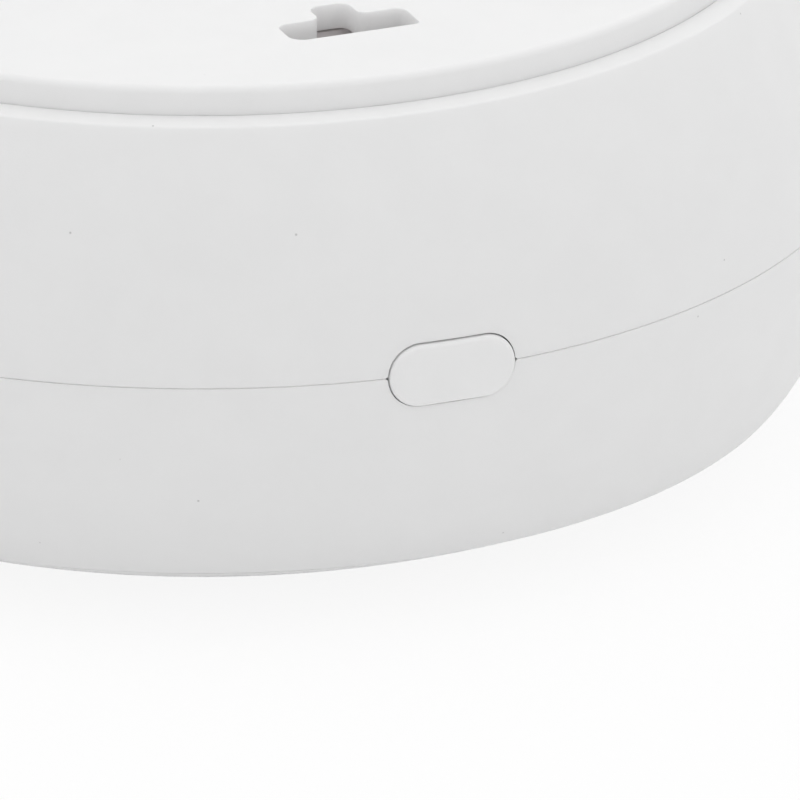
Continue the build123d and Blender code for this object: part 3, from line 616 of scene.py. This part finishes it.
def window_outline(grow=0.0):
    """T-shaped window of the door, moved outward by grow: a bar across, with a tab towards the centre."""
    left, right = window_shift - window_bar_length / 2, window_shift + window_bar_length / 2
    tab_left, tab_right = window_shift - window_tab_width / 2, window_shift + window_tab_width / 2
    near, far, tip = -window_bar_radius - window_bar_width / 2, -window_bar_edge, -tab_tip_radius
    return rounded([
        (left, near, window_left_corner),
        (right, near, window_right_corner),
        (right, far, window_far_corner),
        (tab_right, far, window_inner_corner),
        (tab_right, tip, window_far_corner),
        (tab_left, tip, window_far_corner),
        (tab_left, far, window_inner_corner),
        (left, far, window_far_corner),
    ], grow, window_corner_steps)


def plate_with_window(loops_out, loops_in):
    """Closed solid whose outside is a stack of rings and whose window is a stack of equal outlines."""
    bm = bmesh.new()
    outside, inside = tube(bm, loops_out), tube(bm, loops_in)
    for outer, inner in ((outside[0], inside[0]), (outside[-1], inside[-1])):
        edges = []
        for loop in (outer, inner):
            for i, vert in enumerate(loop):
                pair = (vert, loop[(i + 1) % len(loop)])
                edges.append(bm.edges.get(pair) or bm.edges.new(pair))
        bmesh.ops.triangle_fill(bm, use_beauty=True, edges=edges)
    return bm


def make_battery_door():
    """Battery door: disc with a rounded edge, skirt, T-shaped window, ribs, hinge hook and stakes."""
    leans = [pi / 2 * i / edge_steps for i in range(edge_steps + 1)]
    edge = [(door_radius - door_edge_round * (1 - sin(lean)), door_top - door_edge_round * (1 - cos(lean)))
            for lean in leans]
    profile = edge + [(door_radius, skirt_bottom), (skirt_inner_radius, skirt_bottom),
                      (skirt_inner_radius, door_underside)]
    angles = [2 * pi * i / ring_count for i in range(ring_count)]
    outside = [[(r * cos(a), r * sin(a), z) for a in angles] for r, z in profile]
    inside = []
    for lean in leans:
        grow = window_edge_round * (1 - sin(lean))
        depth = window_edge_round * (1 - cos(lean))
        inside.append([(x, y, door_top - depth) for x, y in window_outline(grow)])
    inside.append([(x, y, door_underside) for x, y in window_outline()])
    door = new_piece("battery_door_skin", plate_with_window(outside, inside), "door")
    overlap = door_plate / 4
    ribs = []
    for index in range(door_rib_count):
        rib_y = cell_y + cell_radius + cell_clearance + door_rib_gap + index * door_rib_pitch
        reach = sqrt((door_radius - door_skirt / 2) ** 2 - (rib_y + door_rib / 2) ** 2)
        ribs.append(prism(rectangle(2 * reach, door_rib, 0, rib_y), door_underside + overlap,
                          door_underside - door_rib_depth))
    rib_x = latch_width / 2 + door_rib
    reach = sqrt((door_radius - door_skirt / 2) ** 2 - (rib_x + door_rib / 2) ** 2)
    for x in (-rib_x, rib_x):
        outline = rectangle(door_rib, reach - latch_root_radius, x, -(reach + latch_root_radius) / 2)
        ribs.append(prism(outline, door_underside + overlap, door_underside - door_rib_depth))
    for x in stake_xs:
        ribs.append(prism(disc(stake_boss_radius, x, stake_y), door_underside + overlap, latch_top))
        ribs.append(prism(disc(stake_radius, x, stake_y), latch_top + overlap, latch_bottom - overlap))
    hook_top = lip_bottom - hook_play
    hook_tip = opening_radius + hinge_hook_reach
    arm = rectangle(hinge_hook_width, door_skirt / 2, 0, skirt_inner_radius + door_skirt / 4)
    ribs.append(prism(arm, door_underside + overlap, hook_top - hinge_hook_height))
    nose = rectangle(hinge_hook_width, hook_tip - skirt_inner_radius, 0, (hook_tip + skirt_inner_radius) / 2)
    ribs.append(prism(nose, hook_top, hook_top - hinge_hook_height))
    notch = rectangle(latch_width + 2 * latch_play, 3 * door_skirt, 0, -door_radius)
    carve(door, [prism(notch, latch_top + latch_play, skirt_bottom - wall)])
    carve(door, ribs, "UNION")
    smooth(door)
    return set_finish(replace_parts(door, "battery_door"), "door_white")


def make_stake_heads():
    """Two melted heads that hold the latch on the door's stakes."""
    steps = 8
    turns = [pi / 2 * i / steps for i in range(steps)]
    dome = [(stake_head_radius * cos(turn), latch_bottom - stake_head * sin(turn)) for turn in turns]
    section = [(0, latch_bottom)] + dome + [(0, latch_bottom - stake_head)]
    heads = joined([moved(lathe(section, small_count), x, stake_y) for x in stake_xs])
    heads = new_piece("stake_heads", heads, "door")
    smooth(heads, 50)
    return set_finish(heads, "door_white")


def make_button_cap():
    """Button cap: pill face that follows the side, its edge rounded, then flange and stem behind the wall."""
    face_radius = (rear_arc_radius + front_arc_radius) / 2
    face_centre = seam_radius + button_proud - face_radius
    flange_half = (button_width + 2 * button_flange_lip) / 2
    flange_outer = sqrt(inner_seam_radius**2 - flange_half**2) - button_flange_play
    flange_inner = flange_outer - button_flange

    def face_loop(inset, drop):
        loop = []
        for x, z in pill(button_width, button_height, 0, button_z, inset):
            radius = face_centre + sqrt(face_radius**2 - (z - seam_z) ** 2)
            loop.append((x, -sqrt(radius**2 - x**2) + drop, z))
        return loop

    loops = [[(x, -flange_outer, z) for x, z in pill(button_width, button_height, 0, button_z)]]
    round_steps, flat_steps = 8, 20
    for i in range(round_steps + 1):
        lean = pi / 2 * i / round_steps
        inset = button_edge_round * (1 - cos(lean))
        drop = button_edge_round * (1 - sin(lean))
        loops.append(face_loop(inset, drop))
    for i in range(1, flat_steps):
        inset = button_edge_round + (button_height / 2 - button_edge_round) * i / flat_steps
        loops.append(face_loop(inset, 0))
    bm = bmesh.new()
    rings = tube(bm, loops)
    bm.faces.new(rings[0])
    last = rings[-1]
    half = len(last) // 2
    bm.faces.new(last[:half])
    bm.faces.new(last[half:])
    bm.faces.new((last[0], last[half - 1], last[half], last[-1]))
    cap = new_piece("button_cap_skin", moved(bm, button_lean, 0, -button_sag), "button")
    flange = pill(button_width + 2 * button_flange_lip, button_height + 2 * button_flange_lip, 0, button_z)
    stem = rectangle(stem_width, stem_height, 0, button_z)
    overlap = button_flange / 4
    carve(cap, [
        prism(flange, -flange_inner, -flange_outer, "Y"),
        prism(stem, -stem_end, -flange_inner - overlap, "Y"),
    ], "UNION")
    smooth(cap)
    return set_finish(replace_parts(cap, "button_cap"), "button_white")


def body_of_node(node):
    """The body that a CAD node rides on."""
    bodies = frame["record"]["behaviour"]["bodies"]
    return next(body for body, nodes in bodies.items() if node in nodes)


def read_back(mesh):
    """A mesh as a form in millimetres."""
    bm = bmesh.new()
    bm.from_mesh(mesh)
    bmesh.ops.scale(bm, vec=(1 / MM, 1 / MM, 1 / MM), verts=bm.verts)
    return bm


def make_softened(node, round_mm):
    """A CAD node's own form with its edges rounded, as its mould leaves them."""
    bm = read_back(frame["nodes"][node].data)
    bmesh.ops.remove_doubles(bm, verts=bm.verts, dist=weld_distance)
    bmesh.ops.dissolve_limit(bm, angle_limit=radians(flat_angle), verts=bm.verts, edges=bm.edges)
    sharp = [edge for edge in bm.edges if edge.is_manifold and edge.calc_face_angle() > radians(sharp_angle)]
    bmesh.ops.bevel(bm, geom=sharp, offset=round_mm, offset_type="OFFSET", segments=2, profile=0.5,
                    affect="EDGES", clamp_overlap=True)
    piece = new_piece(node + "_skin", bm, body_of_node(node))
    smooth(piece, sharp_angle)
    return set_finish(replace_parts(piece, node), slots_of_nodes[node])


def make_cell(node, side):
    """A cell along X, its raised end at +X (side 1) or -X (side -1): a steel can in a shrunk sleeve."""
    start, end = -cell_end, cell_end - cell_nub_length
    can_radius = cell_radius - sleeve_thickness
    bare = cell_radius - sleeve_lip
    step = sleeve_thickness
    flat = bare - can_round
    can = rounded([
        (0, start + 2 * step), (flat - can_ring - can_round, start + 2 * step), (flat - can_ring, start),
        (flat, start), (bare, start + step),
        (can_radius, start + step, can_round), (can_radius, end - step, can_round),
        (bare, end - step), (flat, end - 2 * step), (cell_nub_radius + cell_nub_foot, end - 2 * step),
        (cell_nub_radius, end), (cell_nub_radius, cell_end, can_round), (0, cell_end),
    ])
    sleeve = rounded([
        (bare, start), (cell_radius, start, sleeve_round), (cell_radius, end, sleeve_round), (bare, end),
        (bare, end - step), (can_radius, end - step, sleeve_round - step),
        (can_radius, start + step, sleeve_round - step), (bare, start + step),
    ])
    made = []
    for name, section in (("can", can), ("sleeve", sleeve)):
        bm = spun(lathe(section, cell_count), side * pi / 2, "Y")
        piece = new_piece(f"{node}_{name}", moved(bm, 0, side * cell_y, cell_axis_z), "housing")
        smooth(piece)
        made.append(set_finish(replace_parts(piece, node), "cell_can"))
    return made


def make_foam():
    """Two strips of open foam under the door, their skins pored and their ends and edges rounded."""
    left, right = low("door_foam", X), high("door_foam", X)
    bottom, top = low("door_foam", Z), high("door_foam", Z)
    half = high("door_foam", Y) - cell_y
    steps, across = 150, 30
    forms = []
    for y in (-cell_y, cell_y):
        loops = []
        for i in range(steps + 1):
            x = left + (right - left) * i / steps
            from_end = min(x - left, right - x)
            pull = foam_round * (1 - sqrt(1 - (1 - min(1, from_end / foam_round)) ** 2))
            a, b = y - half + pull, y + half - pull
            corners = [(a, bottom + pull / 2, foam_round)]
            corners += [(a + (b - a) * k / across, bottom + pull / 2) for k in range(1, across)]
            corners += [(b, bottom + pull / 2, foam_round), (b, top), (a, top)]
            loop = []
            for ry, rz in rounded(corners):
                pore = foam_pore * max(0.0, noise.noise(Vector((x, ry, rz)) / foam_cell))
                loop.append((x, ry, rz + pore * (top - rz) / (top - bottom)))
            loops.append(loop)
        bm = bmesh.new()
        close(bm, tube(bm, loops))
        forms.append(bm)
    foam = new_piece("foam_strips", joined(forms), "door")
    smooth(foam, 60)
    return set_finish(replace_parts(foam, "door_foam"), "foam_grey")


def threaded_shaft():
    """Shaft of a tray screw below its seat, with a running thread and a tapered tip, about the Z axis."""
    length = screw_seat - low("tray_screws", Z)
    turns, sides = 8, 24
    rows = int(length / screw_thread_pitch * turns)
    loops = []
    for row in range(rows + 1):
        depth = length * row / rows
        taper = min(1.0, screw_point + (length - depth) / screw_tip)
        loop = []
        for i in range(sides):
            phase = (depth / screw_thread_pitch - i / sides) % 1.0
            ridge = max(0.0, 1 - abs(phase - 0.5) * 4)
            radius = (screw_core_radius + (screw_thread_radius - screw_core_radius) * ridge) * taper
            angle = 2 * pi * i / sides
            loop.append((radius * cos(angle), radius * sin(angle), screw_seat - depth))
        loops.append(loop)
    bm = bmesh.new()
    close(bm, tube(bm, loops))
    return bm


def make_tray_screws():
    """Four tray screws: threaded shafts, and pan heads with a cross recess."""
    top = screw_seat + screw_head_height
    head = rounded([(0, screw_seat), (screw_head_radius, screw_seat),
                    (screw_head_radius, top, screw_head_round), (0, top)], steps=10)
    heads = [moved(lathe(head, small_count), *place) for place in screw_places]
    heads = new_piece("tray_screws_skin", joined(heads), "housing")
    a, b = recess_arm / 2, recess_width / 2
    cross = [
        (a, -b), (a, b), (b, b), (b, a), (-b, a), (-b, b),
        (-a, b), (-a, -b), (-b, -b), (-b, -a), (b, -a), (b, -b),
    ]
    carve(heads, [joined([moved(prism(cross, top - recess_depth, top + wall), *p) for p in screw_places])])
    whole = joined([read_back(heads.data)] + [moved(threaded_shaft(), *p) for p in screw_places])
    bmesh.ops.scale(whole, vec=(MM, MM, MM), verts=whole.verts)
    whole.to_mesh(heads.data)
    whole.free()
    smooth(heads, 25)
    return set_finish(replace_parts(heads, "tray_screws"), "screw_steel")


def make_vent_mesh():
    """Woven dust mesh that follows the inside of the wall behind the vents, wire over wire."""
    sheet_radius = front_arc_radius - wall - mesh_gap - mesh_thickness / 2
    swing = mesh_thickness / 2 - mesh_wire_radius - mesh_wire_play
    half = high("vent_mesh", X) - mesh_wire_radius
    bottom, top = low("vent_mesh", Z) + mesh_wire_radius, high("vent_mesh", Z) - mesh_wire_radius

    def place(x, z, lift):
        ring = front_centre + sqrt(sheet_radius**2 - (z - seam_z) ** 2) + lift
        return Vector((x, sqrt(ring**2 - x**2), z))

    def wire(points, side_axis):
        turns = [2 * pi * k / mesh_wire_sides for k in range(mesh_wire_sides)]
        offsets = [mesh_wire_radius * (cos(a) * side_axis + sin(a) * Vector((0, 1, 0))) for a in turns]
        close(bm, tube(bm, [[point + offset for offset in offsets] for point in points]))

    bm = bmesh.new()
    columns, rows = int(2 * half / mesh_pitch), int((top - bottom) / mesh_pitch)
    fine = 4
    for i in range(columns + 1):
        x = -half + 2 * half * i / columns
        wire([place(x, bottom + (top - bottom) * k / (rows * fine), swing * cos(pi * (k / fine + i)))
              for k in range(rows * fine + 1)], Vector((1, 0, 0)))
    for i in range(rows + 1):
        z = bottom + (top - bottom) * i / rows
        wire([place(-half + 2 * half * k / (columns * fine), z, -swing * cos(pi * (k / fine + i)))
              for k in range(columns * fine + 1)], Vector((0, 0, 1)))
    mesh = new_piece("vent_mesh_skin", bm, "housing")
    smooth(mesh, 60)
    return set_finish(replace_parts(mesh, "vent_mesh"), "mesh_grey")


def make_polarity_marks():
    """Raised plus and minus marks on the tray's deck, beside the ends of the cells."""
    deck = high("battery_tray", Z)
    arm = (mark_length - mark_stroke) / 2
    forms = []
    for x, y in ((-mark_x, -mark_y), (mark_x, -mark_y), (-mark_x, mark_y), (mark_x, mark_y)):
        bars = [rectangle(mark_length, mark_stroke, x, y)]
        if x * y > 0:
            bars += [rectangle(mark_stroke, arm, x, y + end * (mark_stroke + arm) / 2) for end in (-1, 1)]
        forms += [prism(bar, deck - mark_height, deck + mark_height) for bar in bars]
    marks = new_piece("polarity_marks", joined(forms), "housing")
    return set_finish(marks, "tray_white")


def node_material(name):
    """A new node material: its nodes, its shader and the object's own coordinates."""
    material = bpy.data.materials.new(name)
    material.use_nodes = True
    nodes = material.node_tree.nodes
    shader = nodes["Principled BSDF"]
    place = nodes.new("ShaderNodeTexCoord").outputs["Object"]
    return material, nodes, shader, place


def link(output, node, name):
    """Feed an output into the named or numbered input of a node."""
    node.id_data.links.new(output, node.inputs[name])


def node_with(nodes, kind, **values):
    """A new node whose inputs have the given values. Spaces in their names are written as underscores."""
    node = nodes.new(kind)
    for name, value in values.items():
        node.inputs[name.replace("_", " ")].default_value = value
    return node


def maths(nodes, operation, first, second):
    """Result of an operation on an output and another output or a number."""
    node = nodes.new("ShaderNodeMath")
    node.operation = operation
    link(first, node, 0)
    if isinstance(second, (int, float)):
        node.inputs[1].default_value = second
    else:
        link(second, node, 1)
    return node.outputs[0]


def coordinate(nodes, vector, axis):
    """One coordinate of a vector output."""
    split = nodes.new("ShaderNodeSeparateXYZ")
    link(vector, split, "Vector")
    return split.outputs[axis]


def noise_field(nodes, place, size_mm, detail=2.0, rough=0.5):
    """Noise whose blobs are about size_mm across."""
    texture = node_with(nodes, "ShaderNodeTexNoise", Scale=1.0 / (size_mm * MM), Detail=detail,
                        Roughness=rough)
    link(place, texture, "Vector")
    return texture.outputs["Fac"]


def ramp(nodes, value, first, last, start=0.0, end=1.0):
    """Two-colour ramp over a value, from start to end."""
    colours = nodes.new("ShaderNodeValToRGB")
    stops = ((start, first), (end, last))
    for element, (position, colour) in zip(colours.color_ramp.elements, stops):
        element.position = position
        element.color = (*colour, 1)
    link(value, colours, "Fac")
    return colours.outputs["Color"]


def spread(nodes, value, first, last, start=0.0, end=1.0):
    """A number from first to last as the value goes from start to end."""
    scale = node_with(nodes, "ShaderNodeMapRange", From_Min=start, From_Max=end, To_Min=first, To_Max=last)
    link(value, scale, "Value")
    return scale.outputs["Result"]


def bump(nodes, shader, height, depth_mm, below=None):
    """Relief of the given depth, laid over another relief if one is given."""
    relief = node_with(nodes, "ShaderNodeBump", Distance=depth_mm * MM)
    link(height, relief, "Height")
    if below:
        link(below, relief, "Normal")
    link(relief.outputs["Normal"], shader, "Normal")
    return relief.outputs["Normal"]


def tinted(colour, factor):
    """A colour made darker or lighter by a factor."""
    return tuple(c * factor for c in colour)


def moulded(name, colour, roughness=0.5, grain=0.09, depth=0.004, tone=0.012, gloss=0.5,
             glow=0.0, reach=glow_depth):
    """Moulded plastic: fine spark-eroded grain, a faint wave from cooling, slight changes of tone, a few
    dust flecks, and where glow is above 0 light that spreads below the surface, up to reach in mm."""
    material, nodes, shader, place = node_material(name)
    cloud = noise_field(nodes, place, 2.5, 3)
    base = ramp(nodes, cloud, tinted(colour, 1 - tone), colour, 0.35, 0.65)
    cells = node_with(nodes, "ShaderNodeTexVoronoi", Scale=1 / (fleck_spacing * MM))
    link(place, cells, "Vector")
    fleck = spread(nodes, cells.outputs["Distance"], fleck_tone, 0.0,
                   fleck_size / 2 / fleck_spacing, fleck_size / fleck_spacing)
    mix = node_with(nodes, "ShaderNodeMixRGB", Color2=(*tinted(colour, fleck_shade), 1))
    link(fleck, mix, "Fac")
    link(base, mix, "Color1")
    link(mix.outputs["Color"], shader, "Base Color")
    fine = noise_field(nodes, place, grain, 2)
    link(spread(nodes, fine, roughness - 0.06, roughness + 0.06, 0.3, 0.7), shader, "Roughness")
    wave = bump(nodes, shader, noise_field(nodes, place, 6.0, 1), 0.004)
    bump(nodes, shader, fine, depth, wave)
    shader.inputs["Specular IOR Level"].default_value = gloss
    shader.inputs["Subsurface Weight"].default_value = glow
    shader.inputs["Subsurface Radius"].default_value = (1, 1, 1)
    shader.inputs["Subsurface Scale"].default_value = reach * MM
    return material


def metal(name, colour, roughness=0.3, size=0.25, depth=0.003):
    """Plated or tinned metal: cloudy tone, uneven sheen and a fine relief."""
    material, nodes, shader, place = node_material(name)
    cloud = noise_field(nodes, place, 1.2, 4)
    link(ramp(nodes, cloud, tinted(colour, 0.82), colour, 0.3, 0.7), shader, "Base Color")
    fine = noise_field(nodes, place, size, 3)
    link(spread(nodes, fine, roughness - 0.08, roughness + 0.12, 0.3, 0.7), shader, "Roughness")
    bump(nodes, shader, fine, depth)
    shader.inputs["Metallic"].default_value = 1.0
    return material


def solder_mask(name, colour):
    """Solder mask over copper: glossy, with raised tracks that show a little lighter."""
    material, nodes, shader, place = node_material(name)
    waves = node_with(nodes, "ShaderNodeTexWave", Scale=wave_scale / (track_pitch * MM), Distortion=1.5,
                      Detail=0.0)
    link(place, waves, "Vector")
    track = spread(nodes, waves.outputs["Fac"], 0, 1, 0.62, 0.7)
    field = spread(nodes, noise_field(nodes, place, 5.0, 1), 0, 1, 0.45, 0.5)
    copper = maths(nodes, "MULTIPLY", track, field)
    link(ramp(nodes, copper, colour, tinted(colour, 1.7)), shader, "Base Color")
    bump(nodes, shader, copper, 0.03)
    gloss = noise_field(nodes, place, 0.5, 3)
    link(spread(nodes, gloss, 0.2, 0.36, 0.3, 0.7), shader, "Roughness")
    return material


def ended_chip(name, body, ends):
    """Small soldered chip, its body dark in the middle and tinned at both ends."""
    material, nodes, shader, place = node_material(name)
    steps = [("SUBTRACT", middle("small_chips", X) * MM), ("DIVIDE", chip_pitch * MM), ("PINGPONG", 0.5)]
    value = coordinate(nodes, place, "X")
    for operation, number in steps:
        value = maths(nodes, operation, value, number)
    border = chip_bare / 2 / chip_pitch
    tin = spread(nodes, value, 0, 1, border, border + 0.01)
    link(ramp(nodes, tin, body, ends), shader, "Base Color")
    link(tin, shader, "Metallic")
    grain = noise_field(nodes, place, 0.08, 3)
    link(spread(nodes, grain, 0.35, 0.55, 0.3, 0.7), shader, "Roughness")
    bump(nodes, shader, grain, 0.006)
    return material


def printed_sleeve(name, side):
    """Shrunk plastic sleeve: dark, with a pale band at the raised end and a thin line beside it."""
    material, nodes, shader, place = node_material(name)
    reach = side * cell_end * MM
    along = spread(nodes, coordinate(nodes, place, "X"), 0, 1, -reach, reach)
    print_bands = nodes.new("ShaderNodeValToRGB")
    print_bands.color_ramp.interpolation = "CONSTANT"
    first, second = print_bands.color_ramp.elements
    first.color, second.color, second.position = sleeve_dark, sleeve_pale, sleeve_line
    for position, colour in ((sleeve_line + 0.012, sleeve_dark), (sleeve_line + 0.035, sleeve_pale)):
        print_bands.color_ramp.elements.new(position).color = colour
    link(along, print_bands, "Fac")
    link(print_bands.outputs["Color"], shader, "Base Color")
    scuffs = noise_field(nodes, place, 0.5, 4, 0.6)
    link(spread(nodes, scuffs, 0.18, 0.34, 0.35, 0.7), shader, "Roughness")
    bump(nodes, shader, noise_field(nodes, place, 1.5, 2), 0.01)
    shader.inputs["Coat Weight"].default_value = 0.4
    return material


plain_colours = {
    "tray_white": (0.80, 0.80, 0.79),
    "chip_black": (0.03, 0.03, 0.035),
    "gasket_grey": (0.16, 0.16, 0.17),
    "latch_grey": (0.80, 0.76, 0.76),
}


def make_materials():
    """One material for each of the record's material slots."""
    made = {
        "shell_white": moulded("shell_white_plastic", (0.885, 0.885, 0.885), glow=0.5),
        "door_white": moulded("door_white_plastic", (0.905, 0.905, 0.905), glow=0.5),
        "button_white": moulded("button_white_plastic", (0.895, 0.895, 0.895), 0.45, glow=0.2),
        "contact_steel": metal("nickel_spring_steel", (0.72, 0.71, 0.68), 0.22),
        "shield_steel": metal("tinned_sheet", (0.68, 0.68, 0.67), 0.35),
        "crystal_can": metal("plated_lid", (0.70, 0.70, 0.70), 0.3),
        "capacitor_can": metal("aluminium_can", (0.72, 0.73, 0.74), 0.3),
        "pin_gold": metal("gold_flash", (0.83, 0.67, 0.33), 0.25),
        "screw_steel": metal("zinc_plate", (0.50, 0.50, 0.50), 0.35),
        "cell_can": metal("cell_steel", (0.55, 0.56, 0.58), 0.3),
    }
    for slot, colour in plain_colours.items():
        made[slot] = moulded(slot + "_plastic", colour, 0.55, 0.15, 0.006, 0.02)
    made["foam_grey"] = moulded("open_cell_foam", (0.10, 0.10, 0.11), 0.9, 0.3, 0.15, 0.3, 0.1)
    made["board_green"] = solder_mask("solder_mask", (0.03, 0.18, 0.09))
    made["chip_tan"] = ended_chip("soldered_chip", (0.42, 0.34, 0.24), (0.72, 0.72, 0.7))
    made["led_lens"] = moulded("potted_lens", (0.85, 0.84, 0.70), 0.2, 0.1, 0.002, 0.05)
    made["pipe_clear"] = moulded("frosted_clear", (0.80, 0.83, 0.83), 0.35, 0.08, 0.004, 0.03)
    made["mesh_grey"] = metal("mesh_wire", (0.45, 0.45, 0.45), 0.4, 0.08, 0.002)
    return made


def dress(piece, material):
    """Give a piece one material."""
    piece.data.materials.clear()
    piece.data.materials.append(material)


def paint_light_on_window_walls(door):
    """Give the window's walls painted light: a lighter copy of the door's plastic, whose light also spreads
    below the surface from the top and the edges.
    """
    # Painted light: the walls are whiter than the door's own plastic (0.95 against 0.905), so the recess
    # looks less shaded.
    painted_light_walls = moulded("window_wall_painted_light_plastic", (0.95, 0.95, 0.95), glow=1.0, reach=thin_glow_depth)
    door.data.materials.append(painted_light_walls)
    for face in door.data.polygons:
        x, y, z = face.center / MM
        inside = sqrt(x**2 + y**2) < skirt_inner_radius and door_underside < z < door_top
        if inside and abs(face.normal.z) < thin_wall_slope:
            face.material_index = 1


materials = make_materials()
slots_of_nodes = {part["node"]: part["material_slot"] for part in frame["record"]["subparts"]}
made = [make_rear_shell(), make_front_shell(), make_front_cap(), make_battery_door(), make_stake_heads(),
        make_button_cap(), make_foam(), make_tray_screws(), make_vent_mesh(), make_polarity_marks()]
made += [make_softened(node, round_mm) for node, round_mm in edge_rounds.items()]
for piece in made:
    dress(piece, materials[piece["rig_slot"]])
# The window's walls get a lighter copy of the door plastic, which is painted light.
paint_light_on_window_walls(bpy.data.objects["battery_door_skin"])
for node, side in (("battery_a", 1), ("battery_b", -1)):
    can, sleeve = make_cell(node, side)
    dress(can, materials["cell_can"])
    dress(sleeve, printed_sleeve(node + "_print", side))
for node, piece in frame["nodes"].items():
    dress(piece, materials[slots_of_nodes[node]])

# Floor and sky
floor_size = 4000.0
floor_gap = 0.02
floor_colour = 0.95
floor_white = 0.9
horizon_light = 0.45
zenith_light = 1.38
sky_power = 1.669


def shown_white(nodes):
    """1 for rays from the camera, from gloss and through glass, and 0 for the rays that light things."""
    path = nodes.new("ShaderNodeLightPath")
    total = path.outputs["Is Camera Ray"]
    for name in ("Is Glossy Ray", "Is Transmission Ray"):
        total = maths(nodes, "MAXIMUM", total, path.outputs[name])
    return total


def make_floor():
    """Pale floor that keeps the object's shadow and looks white."""
    floor = new_piece("floor", prism(rectangle(floor_size, floor_size), -floor_gap, -1.0), None)
    material, nodes, shader, _ = node_material("white_floor")
    shader.inputs["Base Color"].default_value = (floor_colour, floor_colour, floor_colour, 1)
    shader.inputs["Roughness"].default_value = 0.9
    shader.inputs["Specular IOR Level"].default_value = 0.0
    glow = nodes.new("ShaderNodeEmission")
    mix = nodes.new("ShaderNodeMixShader")
    link(maths(nodes, "MULTIPLY", shown_white(nodes), floor_white), mix, "Fac")
    link(shader.outputs["BSDF"], mix, 1)
    link(glow.outputs["Emission"], mix, 2)
    link(mix.outputs["Shader"], nodes["Material Output"], "Surface")
    dress(floor, material)


def make_sky():
    """Soft sky, brighter overhead, that looks white."""
    world = bpy.data.worlds.new("soft_sky")
    bpy.context.scene.world = world
    world.use_nodes = True
    nodes = world.node_tree.nodes
    background = nodes["Background"]
    background.inputs["Color"].default_value = (1, 1, 1, 1)
    height = coordinate(nodes, nodes.new("ShaderNodeTexCoord").outputs["Generated"], "Z")
    curve = maths(nodes, "POWER", spread(nodes, height, 0.0, 1.0), sky_power)
    mix = node_with(nodes, "ShaderNodeMix", B=1.0)
    link(shown_white(nodes), mix, "Factor")
    link(spread(nodes, curve, horizon_light, zenith_light), mix, "A")
    link(mix.outputs["Result"], background, "Strength")


make_floor()
make_sky()

# Camera with the photograph's long lens, and a soft light from behind on the right
image_size = 800
focal_px = 19578.0
camera_distance = 900.0
camera_azimuth = radians(21.56)
camera_elevation = radians(21.36)
camera_roll = radians(0.2)
seam_centre_px = (205.5, 143.7)
sensor_mm = 36.0

side_light_strength = 0.15
side_light_turn = radians(110)
side_light_height = radians(25)
side_light_spread = radians(80)


def place_camera(outward, right):
    """Camera that looks against outward, then turned so that the seam's centre shows where it should."""
    basis = Matrix((right, outward.cross(right), outward)).transposed().to_4x4()
    yaw = atan((image_size / 2 - seam_centre_px[0]) / focal_px)
    pitch = atan((image_size / 2 - seam_centre_px[1]) / focal_px)
    lens = bpy.data.cameras.new("camera")
    lens.sensor_width = sensor_mm
    lens.lens = focal_px / image_size * sensor_mm
    camera = add_to_scene("camera", lens)
    position = Vector((0, 0, seam_z)) + outward * camera_distance
    camera.matrix_world = (
        Matrix.Translation(position * MM) @ basis @ Matrix.Rotation(-camera_roll, 4, "Z")
        @ Matrix.Rotation(-yaw, 4, "Y") @ Matrix.Rotation(-pitch, 4, "X")
    )
    bpy.context.scene.camera = camera


def place_side_light(outward, right):
    """Wide soft lamp from behind on the right, as the camera sees it."""
    ahead = Vector((outward.x, outward.y, 0)).normalized()
    level = ahead * cos(side_light_turn) + right * sin(side_light_turn)
    toward = level * cos(side_light_height) + Vector((0, 0, sin(side_light_height)))
    lamp = bpy.data.lights.new("side_light", "SUN")
    lamp.energy = side_light_strength
    lamp.angle = side_light_spread
    add_to_scene("side_light", lamp).matrix_world = toward.to_track_quat("Z", "Y").to_matrix().to_4x4()


outward = Vector((-sin(camera_azimuth) * cos(camera_elevation), -cos(camera_azimuth) * cos(camera_elevation),
                  sin(camera_elevation)))
right = Vector((cos(camera_azimuth), -sin(camera_azimuth), 0))
place_camera(outward, right)
place_side_light(outward, right)

bpy.context.scene.view_settings.view_transform = "Standard"
